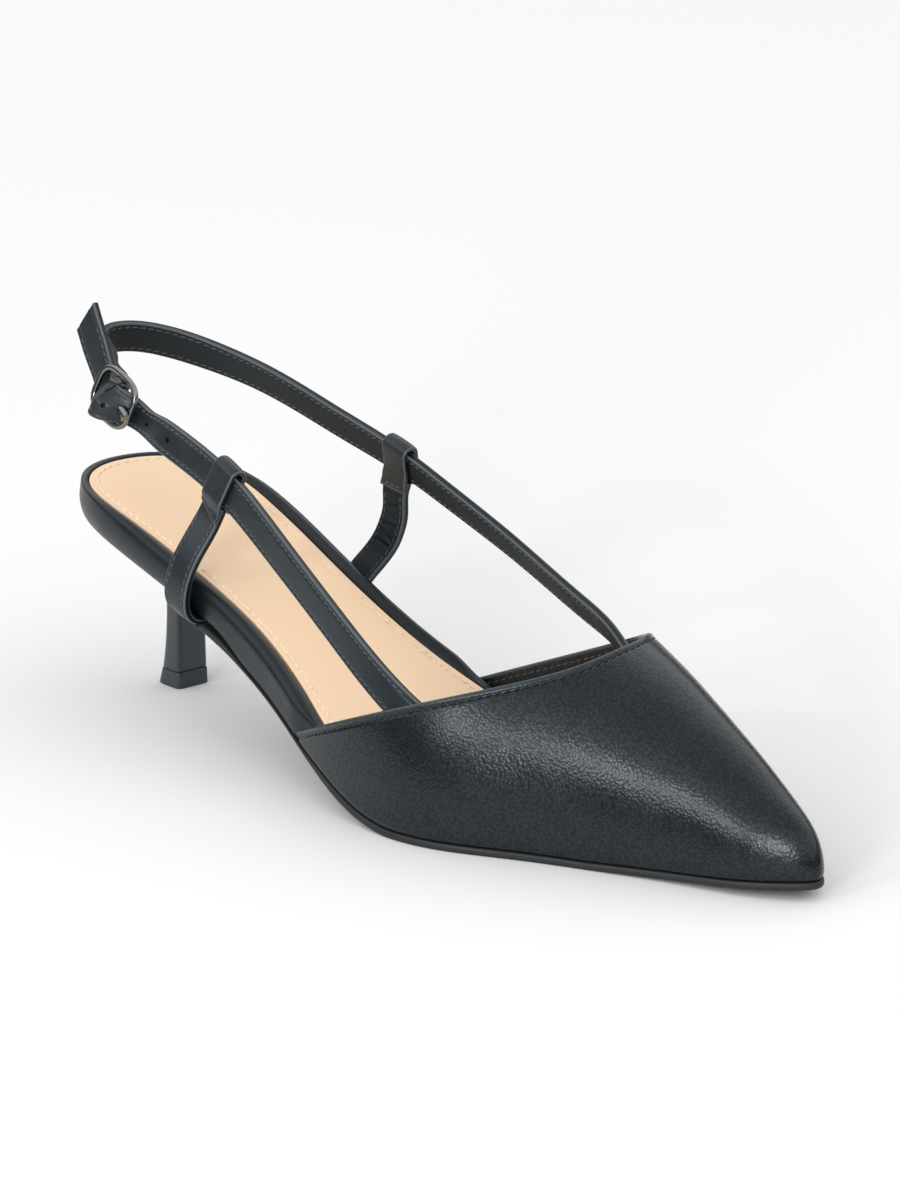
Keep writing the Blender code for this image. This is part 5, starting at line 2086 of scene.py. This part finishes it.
@dataclass
class SideStrap(Assembly):
    """Short strap from the footbed up to a loop that holds a long strap."""

    last: Last
    side: Side
    carrier: Ribbon
    station: float
    rows: Rows
    style: BandStyle = BandStyle()
    loop_style: BandStyle = BandStyle(
        width=8.8, thick=1.2, round_off=0.5, crown=0.16, groove_deep=0.0, seam_deep=0.0, face_steps=22
    )
    loop_leg: float = 7.8
    loop_short: float = 5.8
    loop_end_thick: float = 0.6
    loop_close: Span = (-6.6, -3.6)
    loop_skew: float = -1.6
    loop_clear: float = 0.35
    shoulder_in: float = 0.4
    tuck: float = 0.0
    tuck_from: float = 1.5
    tuck_full: float = 9.0
    seam_up: float = 1.3
    seam_half: float = 3.4
    straight: float = 4.2
    top_clear: float = 0.5
    turn_rate: float = 1.6
    step: float = 0.5
    hold_reach: float = 20.0
    fold_steps: int = 21
    leg_steps: tuple[int, int] = (22, 28)
    seam_steps: int = 12
    # Sections at the loop's cut end painted lighter, as a painted highlight line.
    highlit_end: int = 2
    stitch_from: float = 4.5
    stitch_short: float = 12.0
    wrinkles: Rows = ()
    crest: Span = (0.28, 0.55)
    valley: Span = (0.3, 0.5)
    valley_after: float = 1.0
    wrinkle_fade: Span = (2.4, 3.4)
    thread: Thread = Thread(pitch=2.0, length=1.45, thick=0.38)

    def hold(self) -> tuple[Array, Array, Array, Array]:
        """Find the held strap at this station.

        Returns:
            Its centre and its directions along, across and out.
        """
        carrier = self.carrier
        x = carrier.path[:, 0]
        start = nearest(np.abs(x - self.station), x > self.station - self.hold_reach)
        return carrier.path[start], carrier.run[start], carrier.across[start], carrier.out[start]

    def bend(self, height: Array) -> Array:
        """Return how far the strap and the loop hang in towards the foot at each height."""
        inward = np.array([0.0, 1.0 if self.side is Side.LATERAL else -1.0, 0.0])
        return self.tuck * smooth_step(-height, self.tuck_from, self.tuck_full)[:, None] * inward

    def loop(self) -> None:
        """Make the loop: a band folded over the strap, and the seam that closes it."""
        centre, run, across, out = self.hold()
        seen = out if out[1] < 0.0 else -out
        shoulder = self.style.width / 2.0 - self.shoulder_in
        turns = np.linspace(math.pi, 0.0, self.fold_steps)[1:-1]
        ends = ((-self.loop_short, shoulder), (shoulder, -self.loop_leg))
        levels = [np.linspace(*pair, steps) for pair, steps in zip(ends, self.leg_steps)]
        back, front = (smooth_step(level, *self.loop_close) for level in levels)
        opened = np.concatenate([back, np.ones(len(turns)), front])
        thick = self.loop_end_thick + (self.loop_style.thick - self.loop_end_thick) * opened
        reach = self.style.thick / 2.0 + self.loop_clear * opened + thick / 2.0
        swing = np.concatenate([-np.ones(len(levels[0])), np.cos(turns), np.ones(len(levels[1]))])
        fold = shoulder + np.max(reach) * np.sin(turns)
        height = np.concatenate([levels[0], fold, levels[1]])
        line = centre + height[:, None] * across + (reach * swing)[:, None] * seen + self.bend(height)
        ribbon = Ribbon(line, np.tile(run, (len(line), 1)), thick)
        middle = line.mean(axis=0)
        top = len(line) // 2
        outer = Face.OUTER if np.dot(ribbon.out[top], line[top] - middle) > 0.0 else Face.INNER
        shape = Shape()
        skew = (self.loop_skew, self.loop_leg / 2.0)
        sweep_band(shape, ribbon, self.loop_style, outer, None, *skew, end_highlight=self.highlit_end)
        name = "loop_" + self.side.value
        self.workshop.piece(name + "_leather", shape, BAND_FINISHES, Slot.LEATHER, name)
        places = np.linspace(-self.seam_half, self.seam_half, self.seam_steps)
        slant = self.loop_skew * places / (self.loop_style.width / 2.0)
        foot = line[-1] - self.seam_up * ribbon.run[-1]
        seam = foot + places[:, None] * ribbon.across[-1] + slant[:, None] * ribbon.run[-1]
        seam = seam + (self.loop_end_thick / 2.0) * seen
        sewn = Shape()
        self.thread.sew(sewn, seam, np.tile(seen, (len(seam), 1)))
        self.workshop.piece(name + "_stitches", sewn, (GREY_THREAD,), Slot.LEATHER)

    def build(self) -> None:
        """Make the side strap with its stitches and its loop."""
        centre, run, across, _ = self.hold()
        top = centre - across * (self.style.width / 2.0 + self.top_clear)
        drop = self.style.width / 2.0 + self.top_clear
        hung = self.bend(np.array([-drop, -drop - self.straight]))
        start = [top + hung[0], top - across * self.straight + hung[1]]
        rows = [*((*point, self.style.thick) for point in start), *self.rows]
        line = route(rows, self.step)
        blend = np.clip(np.linspace(0.0, self.turn_rate, len(line)), 0.0, 1.0)[:, None]
        forward = run if run[0] > 0.0 else -run
        foot = line[-1, 0]
        slope = float(self.last.tread(np.array(foot + 1.0)) - self.last.tread(np.array(foot - 1.0))) / 2.0
        widths = forward * (1.0 - blend) + np.array([1.0, 0.0, slope]) * blend
        ribbon = Ribbon(line[:, :3], widths, line[:, 3])
        away = np.array([0.0, -1.0 if self.side is Side.LATERAL else 1.0, 0.0])
        outer = Face.OUTER if ribbon.out[len(line) // 3] @ away > 0.0 else Face.INNER
        shape = Shape()
        sweep_band(shape, ribbon, self.style, outer, self.wrinkled if self.wrinkles else None)
        name = "side_strap_" + self.side.value
        self.workshop.piece(name + "_leather", shape, BAND_FINISHES, Slot.LEATHER, name)
        span = (self.stitch_from, ribbon.lengths[-1] - self.stitch_short)
        sew_band(self.workshop, name, ribbon, self.style, self.thread, outer, *span)
        self.loop()

    def wrinkled(self, length: Array, place: Array, face: Face) -> Array:
        """Wrinkle the lining on the inside of the bend.

        Args:
            length: Lengths along the strap.
            place: Places across the strap.
            face: Which face.

        Returns:
            The wrinkles' height over the face.
        """
        total = np.zeros(len(length))
        if face is Face.OUTER:
            return total
        crest_high, crest_wide = self.crest
        valley_deep, valley_wide = self.valley
        for at, tilt in self.wrinkles:
            tilted = length + tilt * place
            crest = crest_high * hump(tilted, at, crest_wide)
            total += crest - valley_deep * hump(tilted, at + self.valley_after, valley_wide)
        return total * (1.0 - smooth_step(np.abs(place), *self.wrinkle_fade))


@dataclass
class Buckle(Assembly):
    """Rounded metal frame with its bar and prong."""

    axes: BuckleAxes
    half_length: float = 8.3
    half_width: float = 6.2
    power: float = 3.2
    wire_wide: float = 1.6
    wire_thick: float = 1.4
    wire_power: float = 0.6
    bar_radius: float = 0.7
    bar_depth: float = -1.0
    prong_radius: float = 0.6
    tip_across: float = -1.3
    tip_spread: float = 1.3
    tip_thin: float = 0.55
    tip_past: float = 1.0
    beaten: Span = (0.55, 0.8)
    hook: Span = (-0.3, 1.9)
    hook_rows: int = 6
    prong_rows: Rows = ((-3.4, -0.3, 0.75), (-6.0, -0.8, 1.3))
    prong_step: float = 0.3
    gap: float = 0.3
    steps: int = 180
    sides: int = 20
    bar_rings: int = 9

    def frame_rings(self) -> Array:
        """Lay the frame's rounded wire.

        Returns:
            One ring of points for each step round the frame.
        """
        out = self.axes.axes()[2]
        turns = full_turn(self.steps)
        run = self.half_length * squared_off(np.cos(turns), 2.0 / self.power)
        rise = self.half_width * squared_off(np.sin(turns), 2.0 / self.power)
        line = np.array([self.axes.at(*place, 0.0) for place in zip(run, rise)])
        ahead = unit_rows(np.roll(line, -1, axis=0) - np.roll(line, 1, axis=0))
        inward = np.cross(ahead, out)
        spins = full_turn(self.sides)
        wide = squared_off(np.cos(spins), self.wire_power) * self.wire_wide / 2.0
        thick = squared_off(np.sin(spins), self.wire_power) * self.wire_thick / 2.0
        return line[:, None] + wide[None, :, None] * inward[:, None] + thick[None, :, None] * out

    def rod(self, shape: Shape, line: Array, radii: Array, flat: Array) -> None:
        """Add a round rod along a line.

        Args:
            shape: The shape that takes the rod.
            line: Points of its middle.
            radii: Radius at each point.
            flat: Share of the radius that is left out of the buckle's plane.
        """
        across = self.axes.axes()[1]
        run = unit_rows(np.gradient(line, axis=0))
        side = unit_rows(across - (run @ across)[:, None] * run)
        out = np.cross(run, side)
        spins = full_turn(self.sides)[None, :, None]
        ring = np.cos(spins) * side[:, None] + flat[:, None, None] * np.sin(spins) * out[:, None]
        shape.add_tube(line[:, None] + radii[:, None, None] * ring)

    def build(self) -> None:
        """Make the frame with its bar, and the prong."""
        shape = Shape()
        rings = self.frame_rings()
        numbers = shape.add_points(rings)
        shape.add_faces(np.concatenate([numbers, numbers[:1]]), 0)
        self.workshop.piece("buckle_frame_plated", shape, (GUNMETAL,), Slot.METAL, "buckle_frame")
        bar = Shape()
        levels = np.linspace(-self.half_width, self.half_width, self.bar_rings)
        ends = np.array([self.axes.at(0.0, level, self.bar_depth) for level in levels])
        spins = full_turn(self.sides)[:, None]
        along, _, out = self.axes.axes()
        ring = np.cos(spins) * along + np.sin(spins) * out
        bar.add_tube(ends[:, None] + self.bar_radius * ring[None])
        self.workshop.piece("buckle_bar_plated", bar, (GUNMETAL,), Slot.METAL)
        self.prong()

    def prong(self) -> None:
        """Make the prong: hooked on the bar, its flattened tip on the frame."""
        reach = self.bar_radius + self.gap + self.prong_radius
        turns = np.linspace(*self.hook, self.hook_rows)
        hook = [(reach * math.cos(turn), 0.0, self.bar_depth + reach * math.sin(turn)) for turn in turns]
        tip_out = self.wire_thick / 2.0 + self.gap + self.prong_radius
        tip = (-self.half_length - self.tip_past, self.tip_across, tip_out)
        places = [*hook, *self.prong_rows, tip]
        line = route([(*self.axes.at(*place), 0.0) for place in places], self.prong_step)[:, :3]
        beaten = smooth_step(np.linspace(0.0, 1.0, len(line)), *self.beaten)
        radii = self.prong_radius * (1.0 + self.tip_spread * beaten)
        flat = 1.0 - self.tip_thin * beaten
        shape = Shape()
        self.rod(shape, line, radii, flat)
        self.workshop.piece("buckle_prong_plated", shape, (GUNMETAL,), Slot.METAL, "buckle_prong")


# Studio


@dataclass(frozen=True)
class SoftBox:
    """A flat studio light aimed at the shoe."""

    name: str
    at: Point
    wide: float
    tall: float
    watts: float
    aim: Point = (0.05, 0.0, 0.03)

    def build(self) -> None:
        """Hang the light and turn it to its aim."""
        lamp = bpy.data.lights.new(self.name, "AREA")
        lamp.shape = "RECTANGLE"
        lamp.size = self.wide
        lamp.size_y = self.tall
        lamp.energy = self.watts
        hung = bpy.data.objects.new(self.name, lamp)
        hung.location = self.at
        hung.rotation_mode = "QUATERNION"
        hung.rotation_quaternion = (Vector(self.aim) - Vector(self.at)).to_track_quat("-Z", "Y")
        bpy.context.scene.collection.objects.link(hung)


@dataclass
class Studio:
    """Plain pale floor, soft light and the camera at the photograph's angle."""

    place: Place
    azimuth: float = 49.8
    elevation: float = 18.2
    distance: float = 2293.0
    pivot: Point = (130.0, 0.0, 20.0)
    aim: Point = (133.0, 1.0, 47.0)
    lens: float = 275.0
    sensor: float = 36.0
    floor_half: float = 6.0
    floor_colour: str = "#eeeeee"
    floor_rough: float = 0.9
    floor_shine: float = 0.2
    view_end: float = 60.0
    # Degrees over the floor, and the room's brightness there.
    sky: Rows = ((0.0, 0.1), (13.0, 0.12), (20.0, 1.2), (42.0, 1.4), (56.0, 0.95), (90.0, 0.8))
    boxes: tuple[SoftBox, ...] = (
        SoftBox("key_box", (0.08, -1.98, 0.92), 0.32, 0.2, 6.5),
        SoftBox("toe_box", (0.94, -1.78, 0.6), 0.4, 0.42, 14.0),
    )

    def build(self) -> None:
        """Set up the floor, the light and the camera."""
        self.floor()
        self.light()
        for box in self.boxes:
            box.build()
        self.camera()
        bpy.context.scene.view_settings.view_transform = "Standard"
        LOG.info("studio ready")

    def floor(self) -> None:
        """Lay the floor: plain matt paper, which takes soft shadows and no highlight."""
        half = self.floor_half
        mesh = bpy.data.meshes.new("floor")
        corners = [(-half, -half, 0), (half, -half, 0), (half, half, 0), (-half, half, 0)]
        mesh.from_pydata(corners, [], [(0, 1, 2, 3)])
        paper = bpy.data.materials.new("matt_white_paper")
        paper.use_nodes = True
        shader = paper.node_tree.nodes["Principled BSDF"]
        shader.inputs["Base Color"].default_value = linear_colour(self.floor_colour)
        shader.inputs["Roughness"].default_value = self.floor_rough
        shader.inputs["Specular IOR Level"].default_value = self.floor_shine
        mesh.materials.append(paper)
        floor = bpy.data.objects.new("floor", mesh)
        bpy.context.scene.collection.objects.link(floor)

    def light(self) -> None:
        """Light the room: bright walls over a dark base, under a dimmer ceiling."""
        world = bpy.data.worlds.new("studio_room")
        world.use_nodes = True
        tree = world.node_tree
        glow = tree.nodes["Background"]
        top = max(strength for _, strength in self.sky)
        glow.inputs["Strength"].default_value = top
        way = add_node(tree, "ShaderNodeTexCoord").outputs["Generated"]
        parts = add_node(tree, "ShaderNodeSeparateXYZ", None, {"Vector": way})
        ring = add_node(tree, "ShaderNodeValToRGB", None, {"Fac": parts.outputs["Z"]})
        stops = ring.color_ramp.elements
        for number, (degrees, strength) in enumerate(self.sky):
            inner = 0 < number < len(self.sky) - 1
            stop = stops.new(math.sin(math.radians(degrees))) if inner else stops[-1 if number else 0]
            stop.color = (*[strength / top] * 3, 1.0)
        tree.links.new(ring.outputs["Color"], glow.inputs["Color"])
        bpy.context.scene.world = world

    def camera(self) -> None:
        """Stand the camera where the photograph was taken and aim it at this shoe."""
        turn, tilt = math.radians(self.azimuth), math.radians(self.elevation)
        back = np.array([math.sin(turn) * math.cos(tilt), -math.cos(turn) * math.cos(tilt), math.sin(tilt)])
        eye = Vector(self.place.metres(np.array(self.pivot) + self.distance * back))
        target = Vector(self.place.metres(np.array(self.aim)))
        lens = bpy.data.cameras.new("camera")
        lens.lens = self.lens
        lens.sensor_width = self.sensor
        lens.clip_end = self.view_end
        camera = bpy.data.objects.new("camera", lens)
        camera.location = eye
        camera.rotation_mode = "QUATERNION"
        camera.rotation_quaternion = (target - eye).to_track_quat("-Z", "Y")
        bpy.context.scene.collection.objects.link(camera)
        bpy.context.scene.camera = camera


# Points of the side straps' lines and their thickness there, from the loop to the sole.
LATERAL_SIDE_ROWS = (
    (66.6, -26.8, 52.0, 2.0),
    (65.3, -30.0, 45.6, 2.0),
    (64.6, -31.3, 39.8, 2.0),
    (64.2, -30.4, 34.8, 2.0),
    (64.1, -27.8, 32.4, 1.6),
    (64.0, -23.4, 32.05, 0.9),
    (64.0, -17.0, 32.05, 0.9),
)
MEDIAL_SIDE_ROWS = (
    (76.8, 30.4, 51.8, 2.0),
    (75.2, 30.4, 46.6, 2.0),
    (73.2, 29.8, 42.2, 2.0),
    (71.6, 27.3, 38.1, 2.0),
    (70.7, 23.6, 34.3, 2.0),
    (70.4, 20.2, 31.0, 1.6),
    (70.4, 16.0, 30.1, 0.9),
    (70.4, 10.0, 30.1, 0.9),
)

# Wrinkles by length along the strap, and how far each one tilts across it.
MEDIAL_WRINKLES = ((7.5, 0.3), (10.2, -0.2), (13.0, 0.35), (16.2, -0.1), (19.0, 0.2))


def write_sizes() -> None:
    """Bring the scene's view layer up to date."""
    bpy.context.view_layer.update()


def main() -> None:
    """Build the studio, then the shoe's sub-assemblies in order."""
    logging.basicConfig(level=logging.INFO, format="%(name)s %(message)s")
    last = Last()
    workshop = Workshop(Place.from_frame(last.length, Heel.across))
    Studio(workshop.place).build()
    buckle = BuckleAxes()
    footbed = Footbed(workshop, last)
    lateral = LateralStrap(workshop, buckle)
    back = BackStrap(workshop, buckle)
    outer_side = SideStrap(
        workshop,
        last,
        Side.LATERAL,
        lateral.ribbon(),
        station=70.0,
        rows=LATERAL_SIDE_ROWS,
    )
    inner_side = SideStrap(
        workshop,
        last,
        Side.MEDIAL,
        back.ribbon()[0],
        station=79.5,
        rows=MEDIAL_SIDE_ROWS,
        tuck=2.7,
        loop_skew=0.6,
        wrinkles=MEDIAL_WRINKLES,
    )
    assemblies = (
        Vamp(workshop, last),
        footbed,
        Sock(workshop, last, footbed),
        Outsole(workshop, last),
        Heel(workshop, last),
        lateral,
        back,
        outer_side,
        inner_side,
        Buckle(workshop, buckle),
    )
    for assembly in assemblies:
        assembly.build()
    LOG.info("%d pieces", len(workshop.made))
    write_sizes()


if __name__ == "__main__":
    main()
